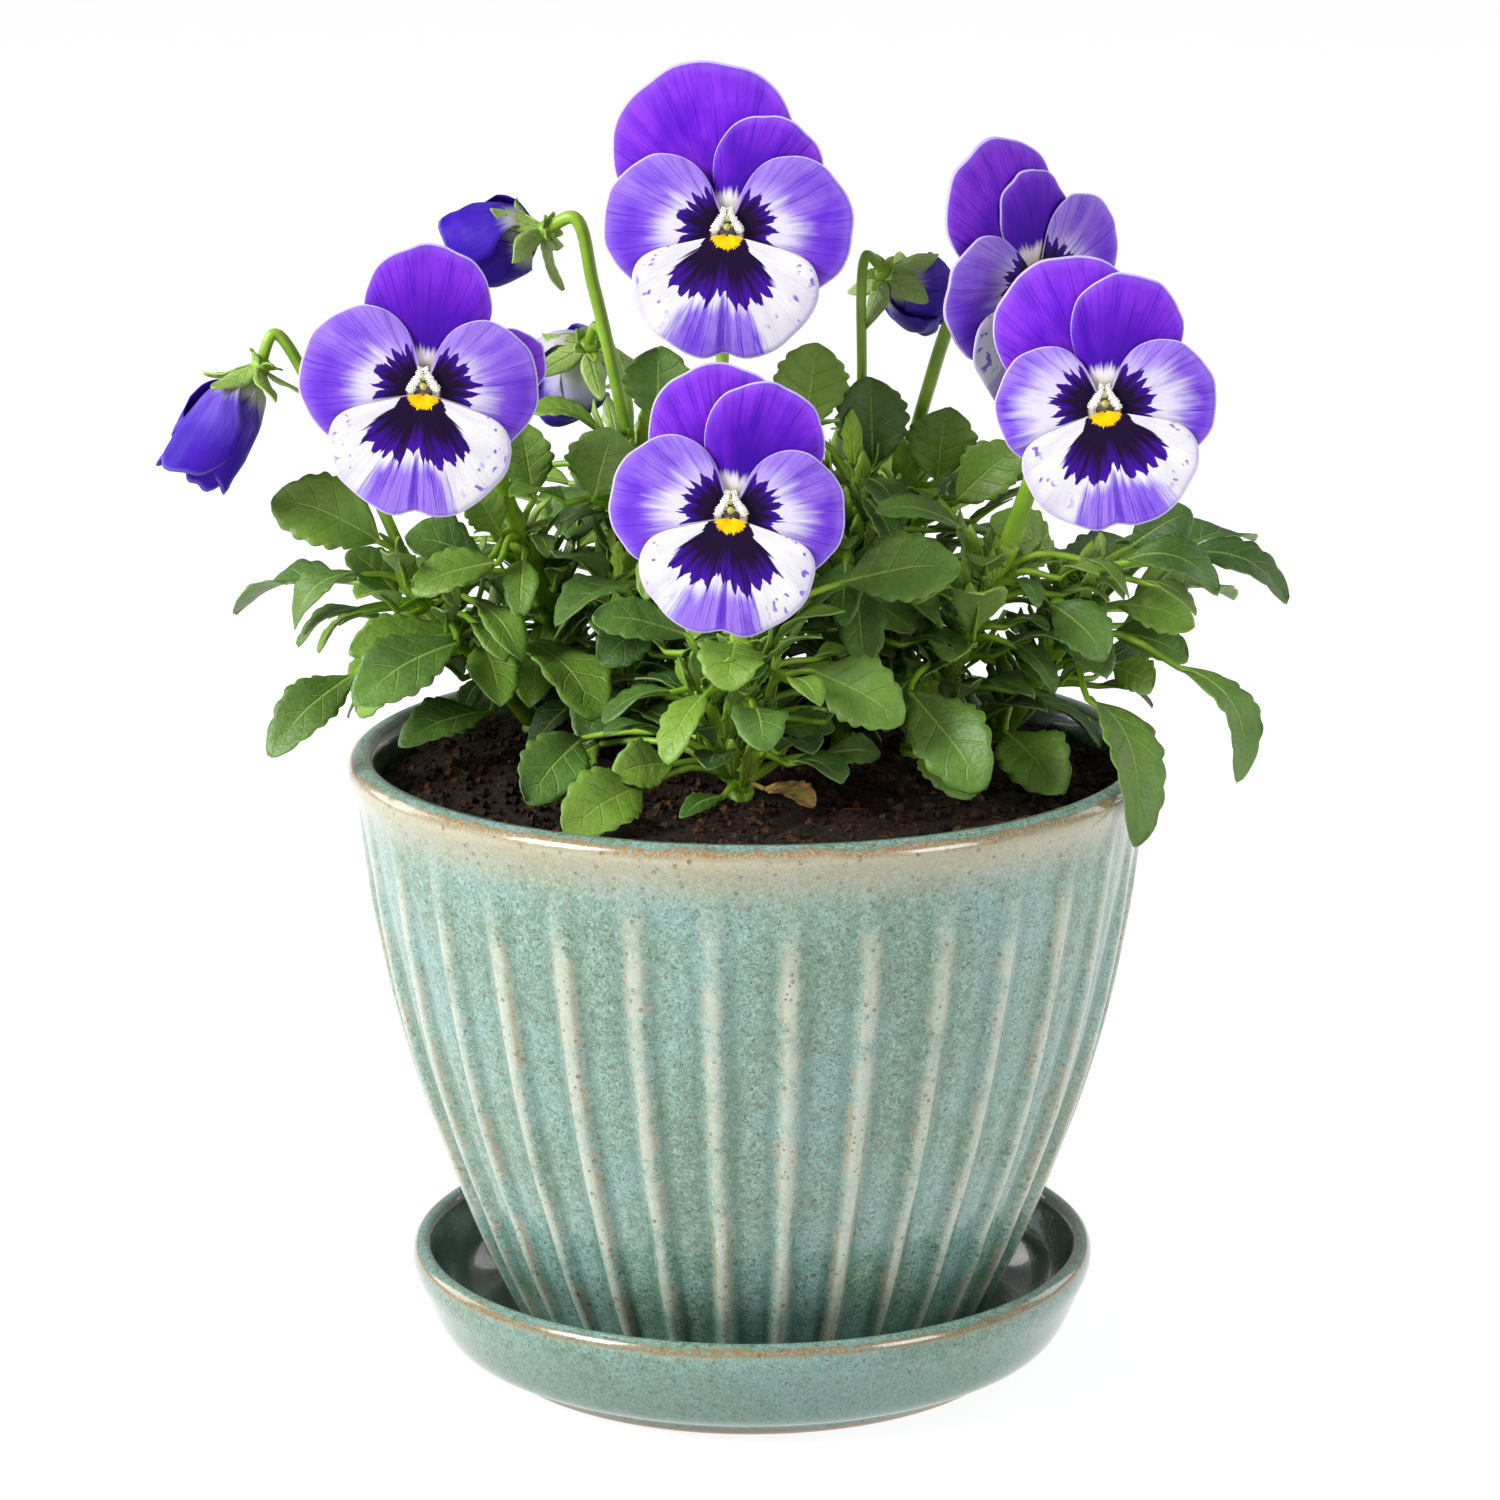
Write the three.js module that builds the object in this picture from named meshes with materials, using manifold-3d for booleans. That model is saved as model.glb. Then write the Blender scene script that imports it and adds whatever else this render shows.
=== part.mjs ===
// A pansy plant in a fluted, glazed pot that stands on its saucer.
// Millimetres, +Z up. The origin is the centre of the saucer's flat underside; -Y is the front.
import * as THREE from "three";
import { mergeVertices } from "three/addons/utils/BufferGeometryUtils.js";
import Module from "manifold-3d";

const wasm = await Module();
wasm.setup();

// ---- Driving dimensions ---------------------------------------------------------------

const GAP = 0.3; // clearance between neighbouring pieces
const SEED = 28;

const SAUCER_FLOOR = 5; // thickness of the saucer's floor
const SAUCER_SEGMENTS = 36;
// Saucer section, [radius, height], from the axis out under the foot, over the lip and back in.
const SAUCER_SECTION = [
  [66, 0], [69, 3.2], [77.4, 7], [83.2, 18], [85.9, 25], [85.2, 28.6], [83.2, 29.6],
  [81.4, 28.6], [79, 16], [73, 7.4], [67, SAUCER_FLOOR],
];

const RIB_COUNT = 32;
const RIB_POINTS = 3; // points round each flute: one crest, two in the channel
const RIB_TURN = 0.5; // the front is the middle of a channel, half a rib from a crest
const POT_FOOT = SAUCER_FLOOR + GAP;
// Height, crest radius and channel depth, from the foot to the widest line of the rim.
const POT_LEVELS = [
  [POT_FOOT, 55.5, 0.8], [34, 70.2, 1.9], [66, 82, 1.9], [100, 91, 1.6], [134, 96.4, 0.4],
  [152.4, 100, 0], [156.2, 97, 0],
];
// Inside of the pot, [radius, height], from its floor to the open top.
const POT_CAVITY = [
  [52, 14], [59.5, 22], [70.5, 50], [81, 86], [88, 120], [93.7, 158],
];
const CAVITY_SEGMENTS = 24;
const RIM_INSIDE = 88;
const DRAIN = { radius: 8, length: 40, sides: 12 };
const FOOT_RECESS = { radius: 48, height: 1.5 };

const SOIL_SEGMENTS = 24;
const SOIL_LEVEL = 148.6; // at the wall
const SOIL_WALL = [22, 86]; // levels of the rings against the pot's wall
const SOIL_MOUND = 2.4; // how much higher it is in the middle
const SOIL_BUMP = 0.45;
const SOIL_RINGS = [70, 44, 18];
const ROOT_DEPTH = 137; // the level that the stems reach down to in the soil
const HOLE = { length: 40, sides: 8 }; // what is cut out of the soil for each stem

const BLADE_THICKNESS = 0.8;
const PETAL_THICKNESS = 0.9;
const PETIOLE_WIDTH = 2.2;
const PETIOLE_THICKNESS = 1.6;
const PETIOLE_RISE = 0.12; // height of a petiole's arch as a share of its length
const BAR_SIDES = 5; // stems and stalks
const STEM_STEP = 20; // length of a stem's straight pieces
const STALK_STEP = 11;
const TOOTH_DEPTH = 0.13; // notch depth as a share of the blade's half width
const FOLDED_WIDTH = 18; // blades this wide are folded along the midrib
const BLADE_CUP = 0.22; // rise of a blade's edges per millimetre of half width

const COLOURS = {
  saucer: 0x8fb3a6, pot: 0x8fb5aa, soil: 0x2b1b13, shoot: 0x5c8a36, bloom: 0x7a35d8,
  bud: 0x5a34b8, withered: 0x8c6b3a,
};

// ---- Vectors, rows of points and solids ------------------------------------------------

const UP = new THREE.Vector3(0, 0, 1);
const DEGREE = Math.PI / 180;

const vector = (p) => new THREE.Vector3(p[0], p[1], p[2]);
const mix = (a, b, t) => a.clone().lerp(b, t);
const along = (p, direction, length) => p.clone().addScaledVector(direction, length);
const bearing = (degrees) =>
  new THREE.Vector3(Math.cos(degrees * DEGREE), Math.sin(degrees * DEGREE), 0);

// The same random numbers each time, from 0 to 1.
function seededRandom(seed) {
  let state = seed >>> 0;
  return () => {
    state = (state + 0x6d2b79f5) >>> 0;
    let t = Math.imul(state ^ (state >>> 15), state | 1);
    t = (t + Math.imul(t ^ (t >>> 7), t | 61)) ^ t;
    return ((t ^ (t >>> 14)) >>> 0) / 4294967296;
  };
}

// Triangles between two rows of vertex numbers. A row of one vertex is a pole.
function stitch(a, b, wrap, faces) {
  const count = Math.max(a.length, b.length);
  for (let j = 0; j < (wrap ? count : count - 1); j++) {
    const k = (j + 1) % count;
    if (a.length > 1) faces.push(a[j], b[b.length > 1 ? k : 0], a[k]);
    if (b.length > 1) faces.push(a[a.length > 1 ? j : 0], b[j], b[k]);
  }
}

function numberRows(rows, points) {
  return rows.map((row) => row.map((p) => points.push(p) - 1));
}

function signedVolume(points, faces) {
  let sum = 0;
  for (let i = 0; i < faces.length; i += 3) {
    const [a, b, c] = [points[faces[i]], points[faces[i + 1]], points[faces[i + 2]]];
    sum += a.dot(b.clone().cross(c));
  }
  return sum / 6;
}

function geometryOf(points, faces) {
  if (signedVolume(points, faces) < 0) faces.reverse();
  const geometry = new THREE.BufferGeometry().setFromPoints(points);
  geometry.setIndex(faces);
  return geometry;
}

// A solid of revolution whose rings may be fluted or bumpy: closed rings between two poles.
function ringed(rows) {
  const points = [];
  const faces = [];
  const numbered = numberRows(rows, points);
  numbered.slice(1).forEach((row, i) => stitch(numbered[i], row, true, faces));
  return geometryOf(points, faces);
}

// The outline of a grid of vertex numbers, once round.
function outlineOf(rows) {
  const last = rows.length - 1;
  const loop = rows.map((row) => row[0]);
  loop.push(...rows[last].slice(1));
  for (let i = last - 1; i >= 0; i--) loop.push(rows[i][rows[i].length - 1]);
  loop.push(...rows[0].slice(1, -1).reverse());
  return loop.filter((v, i) => v !== loop[(i + 1) % loop.length]);
}

// A thin blade between two grids of points that are split into triangles alike.
function slab(front, back) {
  const points = [];
  const faces = [];
  const backFaces = [];
  const frontRows = numberRows(front, points);
  const shift = points.length;
  const backRows = numberRows(back, points);
  for (let i = 1; i < frontRows.length; i++) {
    stitch(frontRows[i - 1], frontRows[i], false, faces);
    stitch(backRows[i - 1], backRows[i], false, backFaces);
  }
  faces.push(...backFaces.reverse());
  const loop = outlineOf(frontRows);
  loop.forEach((p, i) => {
    const q = loop[(i + 1) % loop.length];
    faces.push(q, p, p + shift, q, p + shift, q + shift);
  });
  return geometryOf(points, faces);
}

function toSolid(geometry) {
  const bare = geometry.clone();
  bare.deleteAttribute("normal");
  bare.deleteAttribute("uv");
  const merged = mergeVertices(bare, 1e-4);
  const kept = [];
  const index = merged.index.array;
  for (let i = 0; i < index.length; i += 3) {
    const [a, b, c] = index.slice(i, i + 3);
    if (a !== b && b !== c && c !== a) kept.push(a, b, c);
  }
  const mesh = new wasm.Mesh({
    numProp: 3,
    vertProperties: merged.attributes.position.array,
    triVerts: new Uint32Array(kept),
  });
  return new wasm.Manifold(mesh);
}

function fuse(geometries) {
  return geometries.map(toSolid).reduce((whole, piece) => whole.add(piece));
}

function namedMesh(name, solid, colour, roughness) {
  const cut = solid.getMesh();
  const geometry = new THREE.BufferGeometry();
  geometry.setAttribute("position", new THREE.BufferAttribute(cut.vertProperties, 3));
  geometry.setIndex(new THREE.BufferAttribute(cut.triVerts, 1));
  const material = new THREE.MeshStandardMaterial({ color: colour, roughness, metalness: 0 });
  const mesh = new THREE.Mesh(geometry, material);
  mesh.name = name;
  return mesh;
}

function latheOf(section, segments) {
  const profile = section.map(([r, z]) => new THREE.Vector2(r, z));
  profile.unshift(new THREE.Vector2(0, section[0][1]));
  profile.push(new THREE.Vector2(0, section[section.length - 1][1]));
  return new THREE.LatheGeometry(profile, segments).rotateX(Math.PI / 2);
}

// A round bar along a smooth path.
function bar(points, radius, stepLength) {
  const path = new THREE.CatmullRomCurve3(points);
  const section = new THREE.Shape();
  for (let i = 0; i < BAR_SIDES; i++) {
    const angle = (2 * Math.PI * i) / BAR_SIDES;
    section[i ? "lineTo" : "moveTo"](radius * Math.cos(angle), radius * Math.sin(angle));
  }
  const steps = Math.max(2, Math.round(path.getLength() / stepLength));
  const options = { steps, bevelEnabled: false, extrudePath: path };
  return new THREE.ExtrudeGeometry(section, options);
}

const uprightBar = ({ length, sides }, radius) =>
  new THREE.CylinderGeometry(radius, radius, length, sides).rotateX(Math.PI / 2);

// ---- Saucer, pot and soil --------------------------------------------------------------

const makeSaucer = () => toSolid(latheOf(SAUCER_SECTION, SAUCER_SEGMENTS));

function potRing(height, crest, depth) {
  const count = RIB_COUNT * RIB_POINTS;
  return Array.from({ length: count }, (_, i) => {
    const radius = i % RIB_POINTS === 0 ? crest : crest - depth;
    const angle = (i / RIB_POINTS + RIB_TURN) * (360 / RIB_COUNT) - 90;
    return along(new THREE.Vector3(0, 0, height), bearing(angle), radius);
  });
}

function makePot() {
  const rings = POT_LEVELS.map(([height, crest, depth]) => potRing(height, crest, depth));
  const top = POT_LEVELS[POT_LEVELS.length - 1][0];
  const outside = ringed([[vector([0, 0, POT_FOOT])], ...rings, [vector([0, 0, top])]]);
  const drain = uprightBar(DRAIN, DRAIN.radius).translate(0, 0, POT_FOOT);
  const { radius, height } = FOOT_RECESS;
  const section = [[radius, POT_FOOT - height], [radius, POT_FOOT + height]];
  const recess = latheOf(section, CAVITY_SEGMENTS);
  return [latheOf(POT_CAVITY, CAVITY_SEGMENTS), recess, drain]
    .reduce((pot, cutter) => pot.subtract(toSolid(cutter)), toSolid(outside));
}

// Height of the soil: a low mound with crumbly bumps.
function soilHeight(x, y) {
  const mound = SOIL_MOUND * (1 - (x * x + y * y) / RIM_INSIDE ** 2);
  const bumps = Math.sin(x * 0.31 + 1.3) * Math.cos(y * 0.27) + Math.sin(x * 0.13 - y * 0.19);
  return SOIL_LEVEL + mound + SOIL_BUMP * bumps;
}

function soilRing(radius, height) {
  return Array.from({ length: SOIL_SEGMENTS }, (_, i) => {
    const p = bearing((360 * i) / SOIL_SEGMENTS).multiplyScalar(radius);
    return p.setZ(height ?? soilHeight(p.x, p.y));
  });
}

function cavityRadius(height) {
  const i = POT_CAVITY.findIndex(([, z]) => z >= height);
  const [[r0, z0], [r1, z1]] = [POT_CAVITY[i - 1], POT_CAVITY[i]];
  return r0 + ((r1 - r0) * (height - z0)) / (z1 - z0);
}

function makeSoil(stems) {
  const floor = POT_CAVITY[0][1] + GAP;
  const inner = Math.cos(Math.PI / CAVITY_SEGMENTS);
  const wall = [floor, ...SOIL_WALL, SOIL_LEVEL].map((z) => [cavityRadius(z) * inner - GAP, z]);
  wall[wall.length - 1].pop(); // the top ring follows the bumps
  const rows = [
    [vector([0, 0, floor])],
    ...wall.map(([r, z]) => soilRing(r, z)),
    ...SOIL_RINGS.map((r) => soilRing(r)),
    [vector([0, 0, soilHeight(0, 0)])],
  ];
  return stems.reduce((soil, { root, radius }) => {
    const hole = uprightBar(HOLE, radius + GAP);
    hole.translate(root.x, root.y, ROOT_DEPTH - GAP + HOLE.length / 2);
    return soil.subtract(toSolid(hole));
  }, toSolid(ringed(rows)));
}

// ---- Leaves ----------------------------------------------------------------------------

const parabola = (t) => 4 * t * (1 - t); // 0 at both ends, 1 in the middle

// A leaf blade's own frame: its curved midrib, its normal and its direction across.
function bladeFrame({ base, tip, facing, arch }) {
  const direction = tip.clone().sub(base).normalize();
  const [tilt, turn] = facing;
  const hint = bearing(turn).multiplyScalar(Math.sin(tilt * DEGREE));
  hint.z = Math.cos(tilt * DEGREE);
  const normal = hint.addScaledVector(direction, -hint.dot(direction)).normalize();
  const across = direction.clone().cross(normal);
  const midrib = (t) => along(mix(base, tip, t), normal, arch * parabola(t));
  return { normal, across, midrib };
}

const bladeHalfWidth = (t, width) => (width / 2) * Math.sin(Math.PI * t ** 0.82) ** 0.68;

// A leaf's stalk: from its stem up and over to the blade, a flat bar of the same grid. Its
// frame is carried back along the path from the blade, so that it doesn't twist.
function petioleRows(leaf, columns) {
  const { across, midrib } = bladeFrame(leaf);
  const { node, base } = leaf;
  const rise = PETIOLE_RISE * node.distanceTo(base);
  const path = [node, along(mix(node, base, 0.5), UP, rise), midrib(0), midrib(0.1)];
  const rows = [];
  let side = across;
  for (let i = path.length - 2; i >= 0; i--) {
    const direction = path[i + 1].clone().sub(path[i]).normalize();
    side = along(side, direction, -side.dot(direction)).normalize();
    const normal = side.clone().cross(direction);
    const front = columns.map((s) =>
      along(along(path[i], side, (s * PETIOLE_WIDTH) / 2), normal, PETIOLE_THICKNESS / 2));
    rows.unshift([front, front.map((p) => along(p, normal, -PETIOLE_THICKNESS))]);
  }
  return rows;
}

// Rounded teeth: the odd stations are the crests of the teeth, the even ones notches.
// A wide blade is folded along its midrib, a narrow one is only arched.
function leafSolid(leaf) {
  const { normal, across, midrib } = bladeFrame(leaf);
  const stations = 2 * leaf.teeth;
  const columns = leaf.width >= FOLDED_WIDTH ? [-1, 0, 1] : [-1, 1];
  const rows = leaf.node ? petioleRows(leaf, columns) : [];
  for (let k = 1; k < stations; k++) {
    const t = k / stations;
    const half = bladeHalfWidth(t, leaf.width) * (k % 2 ? 1 : 1 - TOOTH_DEPTH);
    const front = columns.map((s) =>
      along(along(midrib(t), across, s * half), normal, Math.abs(s) * BLADE_CUP * half));
    rows.push([front, front.map((p) => along(p, normal, -BLADE_THICKNESS))]);
  }
  rows.push([[midrib(1)], [along(midrib(1), normal, -BLADE_THICKNESS)]]);
  return slab(rows.map(([front]) => front), rows.map(([, back]) => back));
}

// Points spread over a blade, for telling how near two pieces come.
function bladeSamples(leaf) {
  const { across, midrib } = bladeFrame(leaf);
  const samples = [];
  for (const t of [0.02, 0.14, 0.26, 0.38, 0.5, 0.62, 0.74, 0.86, 0.97]) {
    const half = bladeHalfWidth(t, leaf.width);
    for (const s of [-1, -0.5, 0, 0.5, 1]) samples.push(along(midrib(t), across, s * half));
  }
  return samples;
}

// ---- Petals and sepals -----------------------------------------------------------------

// A flower's frame: where it looks, and its own up and right.
function flowerFrame(centre, [turn, pitch]) {
  const front = bearing(turn).multiplyScalar(Math.cos(pitch * DEGREE));
  front.z = Math.sin(pitch * DEGREE);
  const right = front.clone().cross(UP).negate().normalize();
  const up = front.clone().cross(right).normalize();
  return { centre, front, right, up };
}

// Petal kinds: outline exponent, layer in front of the flower's plane, lean of the tip.
const PETALS = {
  upperBack: { power: 0.42, layer: -1.7, lean: -5 },
  upperFront: { power: 0.42, layer: -0.4, lean: -4 },
  lateral: { power: 0.45, layer: 0.9, lean: -1.5 },
  lower: { power: 0.3, layer: 2.2, lean: 1 },
};
const PETAL_RAYS = 7;
const PETAL_RINGS = [0.5, 1];

function petalOutline(share, { length, spread }, power) {
  const swing = Math.cos((share * Math.PI) / 2) ** power;
  return length * swing * (spread > 85 ? 1 - 0.06 * Math.exp(-((share * 12) ** 2)) : 1);
}

function petalPoint(frame, petal, share, ring) {
  const kind = PETALS[petal.kind];
  const reach = ring * petalOutline(share, petal, kind.power);
  const angle = (petal.angle + share * petal.spread) * DEGREE;
  const ripple = 0.7 * Math.sin(share * 7 + petal.angle) * (reach / petal.length) ** 2;
  const depth = kind.layer + kind.lean * (reach / petal.length) ** 2 + ripple;
  const p = along(frame.centre, frame.right, reach * Math.sin(angle));
  return along(along(p, frame.up, reach * Math.cos(angle)), frame.front, depth);
}

function petalBlade(frame, petal) {
  const rows = [[petalPoint(frame, petal, 0, 0)]];
  for (const ring of PETAL_RINGS) {
    const row = [];
    for (let i = 0; i < PETAL_RAYS; i++) {
      const share = -0.97 + (1.94 * i) / (PETAL_RAYS - 1);
      row.push(petalPoint(frame, petal, share, ring));
    }
    rows.push(row);
  }
  const back = rows.map((row) => row.map((p) => along(p, frame.front, -PETAL_THICKNESS)));
  return slab(rows, back);
}

const THROAT_RADIUS = 3.6;
const CALYX_RADIUS = 2.6;
const THROAT_SETBACK = 0.5; // middle of the throat's knob behind the petals' plane
const CALYX_SETBACK = THROAT_SETBACK + THROAT_RADIUS + GAP + CALYX_RADIUS;

function knob(centre, radius) {
  return new THREE.OctahedronGeometry(radius, 0).translate(centre.x, centre.y, centre.z);
}

function makeBloom({ throat, facing, petals }) {
  const frame = flowerFrame(throat, facing);
  const blades = petals.map(([kind, angle, length, spread]) =>
    petalBlade(frame, { kind, angle, length, spread }));
  return fuse([knob(along(throat, frame.front, -THROAT_SETBACK), THROAT_RADIUS), ...blades]);
}

// A half-open bud: five petals furled round its axis, each lapping over the next, with an
// open mouth. Its skin steps in where one petal's edge slides under its neighbour.
const BUD_PETALS = 5;
const BUD_SHARES = [-0.94, 0, 0.94]; // across each petal, edge to edge
const BUD_OUTSIDE = [0.04, 0.3, 0.6, 0.85, 1];
const BUD_INSIDE = [0.9, 0.55];
const BUD_THROAT = 1.2;
const BUD_LAP = 1.1;

function budPoint(frame, bud, turn, share, u, inset) {
  const swell = Math.sin(Math.PI * (0.02 + 0.62 * u)) ** 0.8;
  const radius = BUD_THROAT + (bud.width / 2 - BUD_THROAT) * swell + BUD_LAP * share - inset;
  const angle = (turn + (share * 180) / BUD_PETALS) * DEGREE;
  const reach = bud.length * u * (1 - 0.15 * share * share);
  const p = along(frame.centre, frame.front, CALYX_RADIUS + GAP + reach);
  return along(along(p, frame.right, radius * Math.sin(angle)), frame.up, radius * Math.cos(angle));
}

function makeBud(bud) {
  const frame = flowerFrame(bud.calyx, bud.facing);
  const turns = Array.from({ length: BUD_PETALS }, (_, i) => (360 * i) / BUD_PETALS);
  const ring = (u, inset) => turns.flatMap((turn) =>
    BUD_SHARES.map((share) => budPoint(frame, bud, turn, share, u, inset)));
  const end = (u) => [along(frame.centre, frame.front, CALYX_RADIUS + GAP + u * bud.length)];
  const outside = BUD_OUTSIDE.map((u) => ring(u, 0));
  const inside = BUD_INSIDE.map((u) => ring(u, BUD_LAP + 2 * PETAL_THICKNESS));
  return toSolid(ringed([end(0), ...outside, ...inside, end(0.3)]));
}

// Five pointed sepals round the swollen end of a flower stalk, as one star-shaped plate.
// Each outline point: [share of 72 degrees, share of the sepal's length].
const SEPAL_OUTLINE = [[0, 0.2], [0.28, 0.5], [0.5, 1], [0.72, 0.5]];
const SEPAL_THICKNESS = 0.8;

function calyx(centre, facing, { length, lift }) {
  const frame = flowerFrame(centre, facing);
  const at = (degrees, reach, rise) => {
    const angle = degrees * DEGREE;
    const p = along(along(centre, frame.right, reach * Math.sin(angle)), frame.front, rise);
    return along(p, frame.up, reach * Math.cos(angle));
  };
  const ring = (shift) => [0, 72, 144, 216, 288].flatMap((turn) =>
    SEPAL_OUTLINE.map(([share, reach]) =>
      at(turn + 72 * share, reach * length, reach * lift + shift)));
  const back = [at(0, 0, -CALYX_RADIUS)];
  return ringed([back, ring(-SEPAL_THICKNESS), ring(0), [at(0, 0, CALYX_RADIUS * 0.4)]]);
}

// ---- The plant: open flowers, buds and leafy shoots ------------------------------------
// facing: [bearing, pitch] in degrees; petals: [kind, angle from upright, length, half spread].

const BLOOMS = {
  bloom_top: {
    throat: [-6, -15, 286], facing: [-90, 8],
    petals: [["upperBack", -15, 42, 68], ["upperFront", 33, 31, 58], ["lateral", -79, 30, 70],
      ["lateral", 83, 30.5, 72], ["lower", 182, 30.5, 96]],
  },
  bloom_left: {
    throat: [-78, -35, 251], facing: [-86, 6],
    petals: [["upperBack", 74, 30.5, 34], ["upperFront", 4, 35, 58], ["lateral", -73, 30, 72],
      ["lateral", 84, 27.5, 74], ["lower", 185, 30, 94]],
  },
  bloom_centre: {
    throat: [-5, -55, 225], facing: [-90, 8],
    petals: [["upperBack", -9, 36, 56], ["upperFront", 24, 33, 58], ["lateral", -76, 29, 70],
      ["lateral", 87, 27, 72], ["lower", 184, 28.5, 94]],
  },
  bloom_right: {
    throat: [84, -30, 246], facing: [-92, 6],
    petals: [["upperBack", -24, 38, 60], ["upperFront", 15, 33, 54], ["lateral", -87, 26, 72],
      ["lateral", 80, 27, 70], ["lower", 173, 29, 94]],
  },
  bloom_behind: {
    throat: [69, 2, 271], facing: [-48, -2],
    petals: [["upperBack", -22, 37, 60], ["upperFront", 2, 28, 54], ["lateral", -96, 30, 66],
      ["lateral", 66, 30, 62], ["lower", 187, 31, 84]],
  },
};

const BUDS = {
  bud_far_left: { calyx: [-119, -12, 253], facing: [-166, -55], length: 29, width: 22 },
  bud_upper_left: { calyx: [-51, 10, 283], facing: [158, -14], length: 22, width: 22 },
  bud_mid_left: { calyx: [-41, 25, 252], facing: [115, -33], length: 24, width: 24 },
  bud_right: { calyx: [33, 20, 271], facing: [47, -26], length: 22, width: 22 },
};

const BLOOM_SEPALS = { length: 12, lift: 1.5 };
const BUD_SEPALS = { length: 13.5, lift: 2.5 };

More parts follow.
